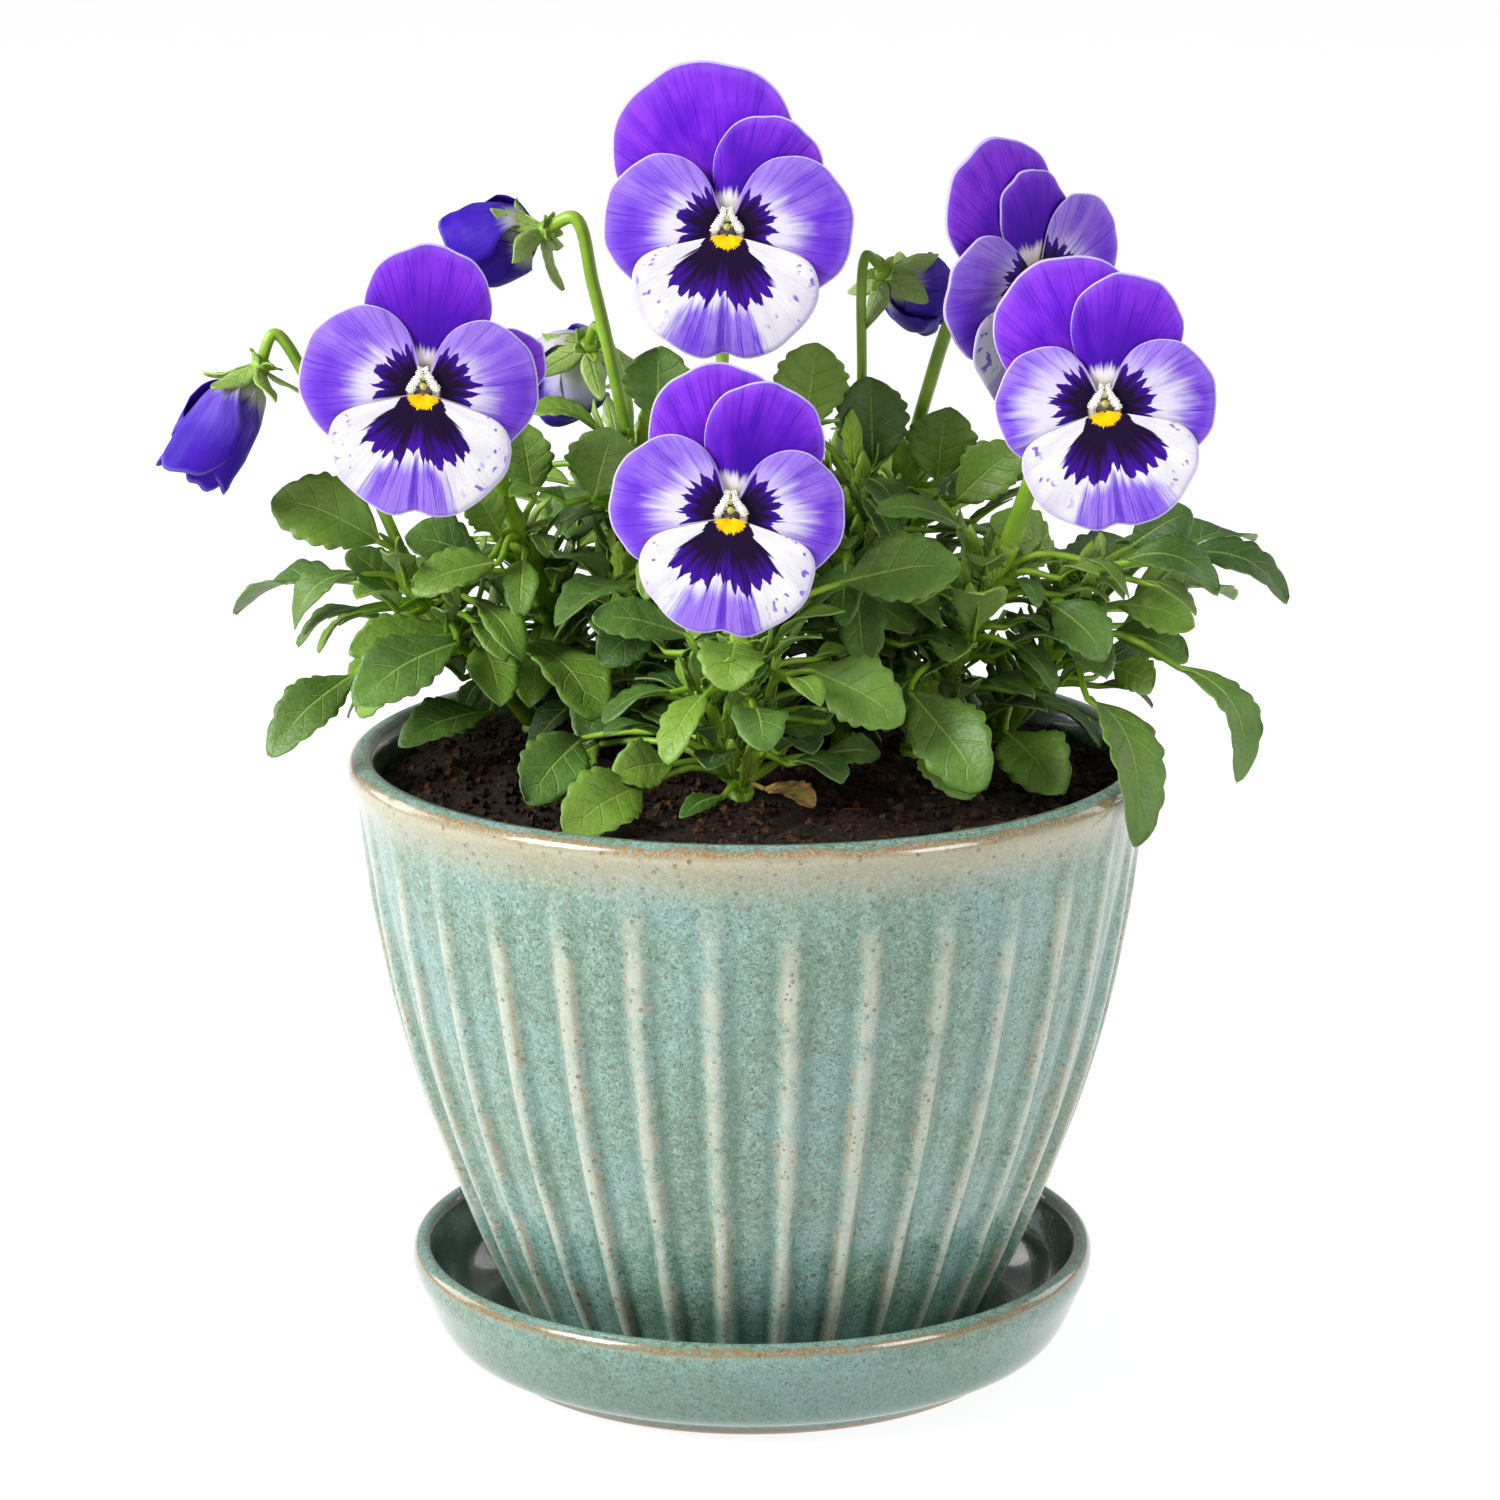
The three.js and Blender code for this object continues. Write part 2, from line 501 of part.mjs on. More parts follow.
// axes: [radius, points] of each stem, the first one rooted in the soil.
// stalks: [radius, flower, points] up to a flower. leaves: [base, tip, width, tilt, arch, teeth].
// A tilt is how far a blade leans from level towards the front, or towards a bearing given last.
// fill: leaves set by rule round the first stem, [count, lowest height, highest height].
const SHOOTS = {
  shoot_centre: {
    axes: [
      [3.3, [[-3, -30, 152], [-2, -31, 165], [-1, -32, 178], [-2, -34, 191]]],
      [1.8, [[-4, -31, 156], [-9, -36, 172], [-14, -39, 186]]],
    ],
    stalks: [[1.7, "bloom_centre", [[-2, -34, 188], [-4, -37, 206]]]],
    leaves: [
      [[-15, -40, 193], [-38, -48, 201], 12, 50, 1, 3],
      [[-4, -42, 192], [-6, -58, 185], 17, 60, 2, 3],
      [[14, -42, 185], [36, -52, 176], 18, 60, 2, 4],
      [[6, -32, 168], [20, -34, 170], 9, 50, 1, 3],
      [[17, -34, 162], [31, -36, 164], 9, 45, 1, 3],
      [[21, -31, 204], [50, -36, 211], 18, 60, 1, 4],
      [[-19, -42, 162], [-33, -52, 163], 13, 60, 1, 3],
      [[-26, -48, 158], [-44, -71, 154], 18, 55, 2, 4],
      [[-41, -28, 165], [-54, -50, 156], 17, 60, 2, 4],
      [[-37, -14, 160], [-49, -21, 155], 13, 50, 1, 3],
      [[-7, -38, 153], [-17, -54, 153], 6, 40, 1, 3],
    ],
    fill: [1, 168, 186],
  },
  shoot_tall: {
    axes: [[2.6, [[-8, -4, 152], [-9, -3, 185], [-9, -2, 215], [-8, -3, 235]]]],
    stalks: [[1.6, "bloom_top", [[-8, -3, 233], [-7, -3, 262]]]],
    leaves: [[[-23, 0, 238], [-23, -4, 258], 18, 75, 1, 3]],
    fill: [2, 178, 224],
  },
  shoot_left: {
    axes: [[3.4, [[-43, 60, 152], [-48, 48, 168], [-52, 35, 186], [-58, 18, 205]]]],
    stalks: [[2.2, "bloom_left", [[-57, 20, 203], [-62, 4, 222], [-65, -8, 238]]]],
    leaves: [
      [[-52, 22, 178], [-57, 12, 166], 14, 60, 1, 3],
      [[-54, 12, 216], [-57, 8, 237], 14, 75, 1, 3],
      [[-62, 8, 208], [-70, 2, 222], 12, 60, 1, 3],
      [[-65, 0, 203], [-85, -4, 211], 15, 50, 1, 3],
      [[-62, -6, 204], [-83, -14, 200], 13, 45, 1, 3],
    ],
    fill: [2, 165, 200],
  },
  shoot_far_left: {
    axes: [
      [2.8, [[-56, 44, 152], [-65, 33, 167], [-74, 20, 179], [-81, 10, 191], [-86, 2, 203]]],
    ],
    stalks: [[1.4, "bud_far_left", [[-85, 4, 201], [-93, -4, 222], [-103, -8, 240]]]],
    leaves: [
      [[-91, -2, 208], [-117, -8, 222], 20, 60, 3, 4],
      [[-87, 6, 192], [-100, 8, 205], 12, 40, 1, 3],
      [[-96, 4, 199], [-113, 0, 187], 12, 15, 5, 3],
      [[-73, 2, 184], [-99, -8, 183], 15, 45, 1, 4],
      [[-72, -12, 185], [-96, -32, 176], 18, 50, 3, 4],
      [[-97, -10, 177], [-117, -30, 163], 14, 50, 3, 4],
      [[-84, 18, 170], [-99, 14, 162], 13, 30, 2, 3],
      [[-65, 12, 162], [-87, -5, 159], 14, 35, 2, 4],
    ],
    fill: [2, 168, 192],
  },
  shoot_mid_left: {
    axes: [[2.2, [[-28, 22, 152], [-30, 20, 189], [-31, 18, 215], [-31, 15, 234]]]],
    stalks: [
      [1.6, "bud_upper_left", [[-31, 15, 232], [-35, 12, 252], [-39, 10, 270]]],
      [1.3, "bud_mid_left", [[-31, 17, 226], [-31, 18, 240]]],
    ],
    leaves: [
      [[-39, 5, 217], [-34, 0, 237], 19, 70, 1, 3],
      [[-38, 12, 234], [-55, 10, 240], 10, 20, 2, 3],
      [[-24, -12, 190], [-37, -22, 183], 14, 55, 2, 3],
    ],
    fill: [2, 172, 218],
  },
  shoot_mid_right: {
    axes: [[2.2, [[22, 18, 152], [24, 17, 199], [27, 15, 228]]]],
    stalks: [[1.25, "bud_right", [[27, 15, 226], [27, 15, 247]]]],
    leaves: [
      [[30, 14, 223], [29, 8, 249], 19, 75, 1, 4],
      [[22, 2, 195], [40, -6, 188], 13, 45, 1, 3],
      [[13, 8, 234], [16, 4, 258], 19, 75, 1, 4],
    ],
    fill: [2, 170, 215],
  },
  shoot_right: {
    axes: [[3, [[40, 14, 152], [47, 8, 171], [57, 0, 193], [63, -5, 208]]]],
    stalks: [[2.2, "bloom_right", [[62, -4, 206], [68, -10, 225], [72, -14, 238]]]],
    leaves: [
      [[38, -30, 177], [55, -52, 160], 20, 60, 2, 4],
      [[41, -22, 162], [53, -44, 156], 14, 55, 1, 4],
    ],
    fill: [1, 172, 200],
  },
  shoot_right_back: {
    axes: [[2.4, [[32, 44, 152], [35, 36, 190], [38, 26, 221]]]],
    stalks: [[1.7, "bloom_behind", [[38, 27, 219], [43, 21, 240], [50, 17, 262]]]],
    leaves: [
      [[46, 20, 219], [48, 14, 240], 19, 75, 1, 3],
      [[50, 16, 214], [66, 10, 231], 15, 65, 1, 4],
      [[51, -8, 213], [30, -14, 220], 10, 30, 2, 3],
    ],
    fill: [2, 168, 214],
  },
  shoot_far_right: {
    axes: [[3.2, [[62, 26, 152], [72, 16, 172], [79, 8, 186], [79, 5, 202]]]],
    stalks: [],
    leaves: [
      [[62, -12, 163], [74, -40, 156], 18, 55, 1, 4],
      [[82, -20, 173], [92, -50, 146], 18, 60, 8, 4, -50],
      [[105, -8, 178], [120, -16, 153], 14, 45, 9, 4, -50],
      [[91, -6, 204], [114, -12, 199], 14, 30, 6, 4],
      [[105, 2, 204], [132, -2, 195], 13, 30, 6, 3],
      [[90, 4, 191], [109, -2, 188], 14, 45, 2, 3],
      [[89, 8, 183], [108, 2, 179], 13, 45, 2, 3],
      [[73, -14, 195], [86, -24, 185], 15, 50, 2, 3],
      [[93, 6, 205], [108, 2, 216], 14, 60, 1, 3],
      [[90, 14, 173], [100, 10, 169], 13, 40, 1, 3],
      [[76, 10, 201], [59, 6, 214], 13, 50, 1, 3],
    ],
    fill: [3, 165, 196],
  },
  shoot_back_left: {
    axes: [[2.6, [[-16, 66, 152], [-22, 70, 180], [-30, 72, 204]]]],
    stalks: [],
    leaves: [],
    fill: [5, 160, 204],
  },
  shoot_back_right: {
    axes: [[2.6, [[20, 66, 152], [28, 72, 178], [38, 74, 200]]]],
    stalks: [],
    leaves: [],
    fill: [5, 160, 200],
  },
  shoot_back: {
    axes: [[2.4, [[0, 36, 152], [0, 40, 190], [-2, 42, 224]]]],
    stalks: [],
    leaves: [],
    fill: [4, 168, 224],
  },
};

// A withered leaf that lies on the soil, listed like the others.
const WITHERED_LEAF = [[3, -37, 152.8], [15, -49, 152.4], 9, 20, 1.5, 3];

// ---- Clear space between the pieces ----------------------------------------------------

// How far a point on a leaf set by rule stays from each kind of thing.
const CLEARANCE = { leaf: 6.5, stem: 5, petal: 8, bud: 18, rim: 3, soil: 5 };
const RIM_HEIGHT = POT_LEVELS[POT_LEVELS.length - 1][0];
const RIM_OUTSIDE = 104;
const taken = []; // [point, clearance]

function clearOfPot(p) {
  const radius = Math.hypot(p.x, p.y);
  if (radius > RIM_OUTSIDE) return true;
  if (radius > RIM_INSIDE) return p.z > RIM_HEIGHT + CLEARANCE.rim;
  return p.z > SOIL_LEVEL + CLEARANCE.soil;
}

const isClear = (points) => points.every((p) =>
  clearOfPot(p) && taken.every(([q, clearance]) => p.distanceTo(q) > clearance));

const take = (points, clearance) => points.forEach((p) => taken.push([p, clearance]));

// ---- Shoots ----------------------------------------------------------------------------

const ROOT_LAP = 1; // how far a root runs up into its stem

const rootOf = ({ axes: [[radius, [foot]]] }) => ({ root: vector(foot), radius });

function flowerOf(name) {
  if (BUDS[name]) {
    const { calyx: at, facing } = BUDS[name];
    return { frame: flowerFrame(vector(at), facing), facing, sepals: BUD_SEPALS };
  }
  const { throat, facing } = BLOOMS[name];
  const frame = flowerFrame(vector(throat), facing);
  frame.centre = along(frame.centre, frame.front, -CALYX_SETBACK);
  return { frame, facing, sepals: BLOOM_SEPALS };
}

// A flower stalk rises behind the flower and bends forward into its calyx.
const STALK_BEND = { back: 9, rise: 1.5 };

function stalkPath(points, { centre, front, up }) {
  const bend = along(along(centre, front, -STALK_BEND.back), up, STALK_BEND.rise);
  return [...points.map(vector), bend, centre];
}

function leafOf([base, tip, width, tilt, arch, teeth, turn = -90]) {
  return { base: vector(base), tip: vector(tip), width, facing: [tilt, turn], arch, teeth };
}

// Where a leaf's stalk leaves the stems: near the blade's base, but lower.
const PETIOLE_DROP = 14;
const LOWEST_NODE = 153;

function nodeFor(base, axes) {
  const target = along(base, UP, -PETIOLE_DROP);
  return axes.flatMap(([, points]) => curvePoints(points))
    .filter((p) => p.z >= LOWEST_NODE)
    .reduce((best, p) => (p.distanceTo(target) < best.distanceTo(target) ? p : best));
}

// A leaf set by rule: each one a golden angle on from the last, turned and moved out until
// it is clear of what is there already.
const FILL = {
  turn: 137.5, length: 25, lengthSpread: 9, droop: 0.35, slimness: 0.62, tilt: 35, arch: 3,
  teeth: 3, tries: 14, retryTurn: 13, reach: 13, reachStep: 7, rise: 7,
};
const CURVE_STEPS = 24;
const random = seededRandom(SEED);

const curvePoints = (points) =>
  new THREE.CatmullRomCurve3(points.map(vector)).getPoints(CURVE_STEPS);

function fillLeaf(stem, count, [low, high], k) {
  const height = low + ((high - low) * (k + 0.5)) / count;
  const node = stem.find((p) => p.z >= height);
  const first = k * FILL.turn + 360 * random();
  const length = FILL.length + FILL.lengthSpread * random();
  const droop = FILL.droop * (2 * random() - 1);
  for (let attempt = 0; attempt < FILL.tries; attempt++) {
    const turn = first + (attempt % 2 ? 1 : -1) * attempt * FILL.retryTurn;
    const out = bearing(turn);
    const reach = FILL.reach + FILL.reachStep * (attempt % 3);
    const base = along(along(node, out, reach), UP, FILL.rise);
    const tip = along(along(base, out, length), UP, length * droop);
    const shape = { width: FILL.slimness * length, arch: FILL.arch, teeth: FILL.teeth };
    const leaf = { node, base, tip, facing: [FILL.tilt, turn], ...shape };
    if (isClear(bladeSamples(leaf))) return leaf;
  }
  return null;
}

function shootLeaves({ axes, leaves, fill: [count, low, high] }) {
  const stem = curvePoints(axes[0][1]);
  const placed = leaves.map((row) => {
    const leaf = leafOf(row);
    return { ...leaf, node: nodeFor(leaf.base, axes) };
  });
  for (let k = 0; k < count; k++) {
    const leaf = fillLeaf(stem, count, [low, high], k);
    if (leaf) {
      take(bladeSamples(leaf), CLEARANCE.leaf);
      placed.push(leaf);
    }
  }
  return placed;
}

function makeShoot({ axes, stalks }, leaves) {
  const pieces = axes.map(([radius, points]) => bar(points.map(vector), radius, STEM_STEP));
  const { root, radius: rootRadius } = rootOf({ axes });
  const sunk = root.clone().setZ(ROOT_DEPTH);
  pieces.push(bar([sunk, along(root, UP, ROOT_LAP)], rootRadius, STEM_STEP));
  for (const [radius, name, points] of stalks) {
    const { frame, facing, sepals } = flowerOf(name);
    pieces.push(bar(stalkPath(points, frame), radius, STALK_STEP));
    pieces.push(calyx(frame.centre, facing, sepals));
  }
  return fuse([...pieces, ...leaves.map(leafSolid)]);
}

// Stems, flowers and hand-set leaves take their space first, then the leaves set by rule.
const PETAL_SAMPLES = [-0.8, -0.4, 0, 0.4, 0.8];

function reserveShoot({ axes, stalks, leaves }) {
  axes.forEach(([, points]) => take(curvePoints(points), CLEARANCE.stem));
  for (const leaf of leaves.map(leafOf)) {
    const node = nodeFor(leaf.base, axes);
    take([0.4, 0.7, 1].map((t) => mix(node, leaf.base, t)), CLEARANCE.stem);
    take(bladeSamples(leaf), CLEARANCE.leaf);
  }
  for (const [, name, points] of stalks) {
    const path = new THREE.CatmullRomCurve3(stalkPath(points, flowerOf(name).frame));
    take(path.getPoints(CURVE_STEPS), CLEARANCE.stem);
  }
}

function reserveBloom({ throat, facing, petals }) {
  const frame = flowerFrame(vector(throat), facing);
  for (const [kind, angle, length, spread] of petals) {
    const petal = { kind, angle, length, spread };
    for (const ring of [0.3, 0.6, 1]) {
      take(PETAL_SAMPLES.map((s) => petalPoint(frame, petal, s, ring)), CLEARANCE.petal);
    }
  }
}

function reserveBud({ calyx: at, facing, length }) {
  const { front } = flowerFrame(vector(at), facing);
  take([0.2, 0.6, 1].map((u) => along(vector(at), front, u * length)), CLEARANCE.bud);
}

// ---- Assembly --------------------------------------------------------------------------

const planter = new THREE.Group();
const addPiece = (name, solid, colour, roughness) =>
  planter.add(namedMesh(name, solid, colour, roughness));

Object.values(SHOOTS).forEach(reserveShoot);
Object.values(BLOOMS).forEach(reserveBloom);
Object.values(BUDS).forEach(reserveBud);

addPiece("saucer", makeSaucer(), COLOURS.saucer, 0.25);
addPiece("pot", makePot(), COLOURS.pot, 0.25);
addPiece("soil", makeSoil(Object.values(SHOOTS).map(rootOf)), COLOURS.soil, 1);
for (const [name, spec] of Object.entries(SHOOTS)) {
  addPiece(name, makeShoot(spec, shootLeaves(spec)), COLOURS.shoot, 0.6);
}
for (const [name, bloom] of Object.entries(BLOOMS)) {
  const placed = { ...bloom, throat: vector(bloom.throat) };
  addPiece(name, makeBloom(placed), COLOURS.bloom, 0.7);
}
for (const [name, bud] of Object.entries(BUDS)) {
  addPiece(name, makeBud({ ...bud, calyx: vector(bud.calyx) }), COLOURS.bud, 0.7);
}
addPiece("withered_leaf", toSolid(leafSolid(leafOf(WITHERED_LEAF))), COLOURS.withered, 0.9);

export default planter;
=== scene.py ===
"""The looks of a pansy planter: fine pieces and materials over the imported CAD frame.

Lengths in the tables and functions are in millimetres, as in the CAD; a mesh is scaled to
metres when its object is made. -Y is the front and +Z is up.
"""
import math

import bmesh
import bpy
import numpy as np
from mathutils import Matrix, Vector, noise


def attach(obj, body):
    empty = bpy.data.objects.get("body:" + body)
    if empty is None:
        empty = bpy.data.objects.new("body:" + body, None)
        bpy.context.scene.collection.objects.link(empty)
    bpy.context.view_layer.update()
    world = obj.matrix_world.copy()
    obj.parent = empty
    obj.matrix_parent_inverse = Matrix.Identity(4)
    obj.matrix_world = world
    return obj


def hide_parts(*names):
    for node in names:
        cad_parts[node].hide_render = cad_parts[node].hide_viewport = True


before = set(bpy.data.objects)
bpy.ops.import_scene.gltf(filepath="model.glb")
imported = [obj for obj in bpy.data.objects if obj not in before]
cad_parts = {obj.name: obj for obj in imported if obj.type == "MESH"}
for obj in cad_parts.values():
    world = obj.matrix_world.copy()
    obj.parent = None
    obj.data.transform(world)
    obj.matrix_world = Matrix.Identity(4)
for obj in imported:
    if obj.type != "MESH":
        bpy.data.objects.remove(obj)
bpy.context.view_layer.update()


# ---- Sizes shared with the CAD ----------------------------------------------------------

METRES = 0.001  # one millimetre
GAP = 0.3  # between a flower and its calyx
SEED = 28  # of the leaves set by rule
CRUMB_SEED = 7
LOOK_SEED = 11

RIB_COUNT = 32
RIM_HEIGHT = 156.2
RIM_INSIDE = 88  # radius within which leaves stay above the soil
RIM_OUTSIDE = 104  # radius beyond which they may hang below the rim
SAUCER_HEIGHT = 29.6
# Radius and height, from the edge of the underside round the lip to the floor inside.
SAUCER_SECTION = [
    [66, 0], [69, 3.2], [77.4, 7], [83.2, 18], [85.9, 25], [85.2, 28.6], [83.2, 29.6],
    [81.4, 28.6], [79, 16], [73, 7.4], [67, 5],
]
SOIL_LEVEL = 148.6
SOIL_MOUND = 2.4
SOIL_BUMP = 0.45
ROOT_DEPTH = 137  # height at which the main stems end in the soil

BLADE_THICKNESS = 0.45
BLADE_CUP = 0.22
PETAL_THICKNESS = 0.4
PETIOLE_RISE = 0.12
PETIOLE_DROP = 14  # how far below its blade a leaf leaves its stem
LOWEST_NODE = 153  # height below which no leaf leaves its stem

THROAT_SETBACK = 0.5
THROAT_RADIUS = 3.6
CALYX_RADIUS = 2.6
CALYX_SETBACK = THROAT_SETBACK + THROAT_RADIUS + GAP + CALYX_RADIUS
STALK_BEND = {"back": 9, "rise": 1.5}


# ---- The plant, as in the CAD -------------------------------------------------------------

BLOOMS = {
    "bloom_top": {
        "throat": [-6, -15, 286], "facing": [-90, 8],
        "petals": [["upperBack", -15, 42, 68], ["upperFront", 33, 31, 58], ["lateral", -79, 30, 70],
            ["lateral", 83, 30.5, 72], ["lower", 182, 30.5, 96]],
    },
    "bloom_left": {
        "throat": [-78, -35, 251], "facing": [-86, 6],
        "petals": [["upperBack", 74, 30.5, 34], ["upperFront", 4, 35, 58], ["lateral", -73, 30, 72],
            ["lateral", 84, 27.5, 74], ["lower", 185, 30, 94]],
    },
    "bloom_centre": {
        "throat": [-5, -55, 225], "facing": [-90, 8],
        "petals": [["upperBack", -9, 36, 56], ["upperFront", 24, 33, 58], ["lateral", -76, 29, 70],
            ["lateral", 87, 27, 72], ["lower", 184, 28.5, 94]],
    },
    "bloom_right": {
        "throat": [84, -30, 246], "facing": [-92, 6],
        "petals": [["upperBack", -24, 38, 60], ["upperFront", 15, 33, 54], ["lateral", -87, 26, 72],
            ["lateral", 80, 27, 70], ["lower", 173, 29, 94]],
    },
    "bloom_behind": {
        "throat": [69, 2, 271], "facing": [-48, -2],
        "petals": [["upperBack", -22, 37, 60], ["upperFront", 2, 28, 54], ["lateral", -96, 30, 66],
            ["lateral", 66, 30, 62], ["lower", 187, 31, 84]],
    },
}

BUDS = {
    "bud_far_left": {"calyx": [-119, -12, 253], "facing": [-166, -55], "length": 29, "width": 22},
    "bud_upper_left": {"calyx": [-51, 10, 283], "facing": [158, -14], "length": 22, "width": 22},
    "bud_mid_left": {"calyx": [-41, 25, 252], "facing": [115, -33], "length": 24, "width": 24},
    "bud_right": {"calyx": [33, 20, 271], "facing": [47, -26], "length": 22, "width": 22},
}

SHOOTS = {
    "shoot_centre": {
        "axes": [
            [3.3, [[-3, -30, 152], [-2, -31, 165], [-1, -32, 178], [-2, -34, 191]]],
            [1.8, [[-4, -31, 156], [-9, -36, 172], [-14, -39, 186]]],
        ],
        "stalks": [[1.7, "bloom_centre", [[-2, -34, 188], [-4, -37, 206]]]],
        "leaves": [
            [[-15, -40, 193], [-38, -48, 201], 12, 50, 1, 3],
            [[-4, -42, 192], [-6, -58, 185], 17, 60, 2, 3],
            [[14, -42, 185], [36, -52, 176], 18, 60, 2, 4],
            [[6, -32, 168], [20, -34, 170], 9, 50, 1, 3],
            [[17, -34, 162], [31, -36, 164], 9, 45, 1, 3],
            [[21, -31, 204], [50, -36, 211], 18, 60, 1, 4],
            [[-19, -42, 162], [-33, -52, 163], 13, 60, 1, 3],
            [[-26, -48, 158], [-44, -71, 154], 18, 55, 2, 4],
            [[-41, -28, 165], [-54, -50, 156], 17, 60, 2, 4],
            [[-37, -14, 160], [-49, -21, 155], 13, 50, 1, 3],
            [[-7, -38, 153], [-17, -54, 153], 6, 40, 1, 3],
        ],
        "fill": [1, 168, 186],
    },
    "shoot_tall": {
        "axes": [[2.6, [[-8, -4, 152], [-9, -3, 185], [-9, -2, 215], [-8, -3, 235]]]],
        "stalks": [[1.6, "bloom_top", [[-8, -3, 233], [-7, -3, 262]]]],
        "leaves": [[[-23, 0, 238], [-23, -4, 258], 18, 75, 1, 3]],
        "fill": [2, 178, 224],
    },
    "shoot_left": {
        "axes": [[3.4, [[-43, 60, 152], [-48, 48, 168], [-52, 35, 186], [-58, 18, 205]]]],
        "stalks": [[2.2, "bloom_left", [[-57, 20, 203], [-62, 4, 222], [-65, -8, 238]]]],
        "leaves": [
            [[-52, 22, 178], [-57, 12, 166], 14, 60, 1, 3],
            [[-54, 12, 216], [-57, 8, 237], 14, 75, 1, 3],
            [[-62, 8, 208], [-70, 2, 222], 12, 60, 1, 3],
            [[-65, 0, 203], [-85, -4, 211], 15, 50, 1, 3],
            [[-62, -6, 204], [-83, -14, 200], 13, 45, 1, 3],
        ],
        "fill": [2, 165, 200],
    },
    "shoot_far_left": {
        "axes": [
            [2.8, [[-56, 44, 152], [-65, 33, 167], [-74, 20, 179], [-81, 10, 191], [-86, 2, 203]]],
        ],
        "stalks": [[1.4, "bud_far_left", [[-85, 4, 201], [-93, -4, 222], [-103, -8, 240]]]],
        "leaves": [
            [[-91, -2, 208], [-117, -8, 222], 20, 60, 3, 4],
            [[-87, 6, 192], [-100, 8, 205], 12, 40, 1, 3],
            [[-96, 4, 199], [-113, 0, 187], 12, 15, 5, 3],
            [[-73, 2, 184], [-99, -8, 183], 15, 45, 1, 4],
            [[-72, -12, 185], [-96, -32, 176], 18, 50, 3, 4],
            [[-97, -10, 177], [-117, -30, 163], 14, 50, 3, 4],
            [[-84, 18, 170], [-99, 14, 162], 13, 30, 2, 3],
            [[-65, 12, 162], [-87, -5, 159], 14, 35, 2, 4],
        ],
        "fill": [2, 168, 192],
    },
    "shoot_mid_left": {
        "axes": [[2.2, [[-28, 22, 152], [-30, 20, 189], [-31, 18, 215], [-31, 15, 234]]]],
        "stalks": [
            [1.6, "bud_upper_left", [[-31, 15, 232], [-35, 12, 252], [-39, 10, 270]]],
            [1.3, "bud_mid_left", [[-31, 17, 226], [-31, 18, 240]]],
        ],
        "leaves": [
            [[-39, 5, 217], [-34, 0, 237], 19, 70, 1, 3],
            [[-38, 12, 234], [-55, 10, 240], 10, 20, 2, 3],
            [[-24, -12, 190], [-37, -22, 183], 14, 55, 2, 3],
        ],
        "fill": [2, 172, 218],
    },
    "shoot_mid_right": {
        "axes": [[2.2, [[22, 18, 152], [24, 17, 199], [27, 15, 228]]]],
        "stalks": [[1.25, "bud_right", [[27, 15, 226], [27, 15, 247]]]],
        "leaves": [
            [[30, 14, 223], [29, 8, 249], 19, 75, 1, 4],
            [[22, 2, 195], [40, -6, 188], 13, 45, 1, 3],
            [[13, 8, 234], [16, 4, 258], 19, 75, 1, 4],
        ],
        "fill": [2, 170, 215],
    },
    "shoot_right": {
        "axes": [[3, [[40, 14, 152], [47, 8, 171], [57, 0, 193], [63, -5, 208]]]],
        "stalks": [[2.2, "bloom_right", [[62, -4, 206], [68, -10, 225], [72, -14, 238]]]],
        "leaves": [
            [[38, -30, 177], [55, -52, 160], 20, 60, 2, 4],
            [[41, -22, 162], [53, -44, 156], 14, 55, 1, 4],
        ],
        "fill": [1, 172, 200],
    },
    "shoot_right_back": {
        "axes": [[2.4, [[32, 44, 152], [35, 36, 190], [38, 26, 221]]]],
        "stalks": [[1.7, "bloom_behind", [[38, 27, 219], [43, 21, 240], [50, 17, 262]]]],
        "leaves": [
            [[46, 20, 219], [48, 14, 240], 19, 75, 1, 3],
            [[50, 16, 214], [66, 10, 231], 15, 65, 1, 4],
            [[51, -8, 213], [30, -14, 220], 10, 30, 2, 3],
        ],
        "fill": [2, 168, 214],
    },
    "shoot_far_right": {
        "axes": [[3.2, [[62, 26, 152], [72, 16, 172], [79, 8, 186], [79, 5, 202]]]],
        "stalks": [],
        "leaves": [
            [[62, -12, 163], [74, -40, 156], 18, 55, 1, 4],
            [[82, -20, 173], [92, -50, 146], 18, 60, 8, 4, -50],
            [[105, -8, 178], [120, -16, 153], 14, 45, 9, 4, -50],
            [[91, -6, 204], [114, -12, 199], 14, 30, 6, 4],
            [[105, 2, 204], [132, -2, 195], 13, 30, 6, 3],
            [[90, 4, 191], [109, -2, 188], 14, 45, 2, 3],
            [[89, 8, 183], [108, 2, 179], 13, 45, 2, 3],
            [[73, -14, 195], [86, -24, 185], 15, 50, 2, 3],
            [[93, 6, 205], [108, 2, 216], 14, 60, 1, 3],
            [[90, 14, 173], [100, 10, 169], 13, 40, 1, 3],
            [[76, 10, 201], [59, 6, 214], 13, 50, 1, 3],
        ],
        "fill": [3, 165, 196],
    },
    "shoot_back_left": {
        "axes": [[2.6, [[-16, 66, 152], [-22, 70, 180], [-30, 72, 204]]]],
        "stalks": [],
        "leaves": [],
        "fill": [5, 160, 204],
    },
    "shoot_back_right": {
        "axes": [[2.6, [[20, 66, 152], [28, 72, 178], [38, 74, 200]]]],
        "stalks": [],
        "leaves": [],
        "fill": [5, 160, 200],
    },
    "shoot_back": {
        "axes": [[2.4, [[0, 36, 152], [0, 40, 190], [-2, 42, 224]]]],
        "stalks": [],
        "leaves": [],
        "fill": [4, 168, 224],
    },
}


# ---- Vectors and curves ------------------------------------------------------------------

UP = np.array([0.0, 0.0, 1.0])


def vec(values):
    return np.array(values, dtype=float)


def unit(v):
    return v / np.linalg.norm(v)


def mix(a, b, t):
    return a + (b - a) * t


def bearing(degrees):
    angle = math.radians(degrees)
    return np.array([math.cos(angle), math.sin(angle), 0.0])


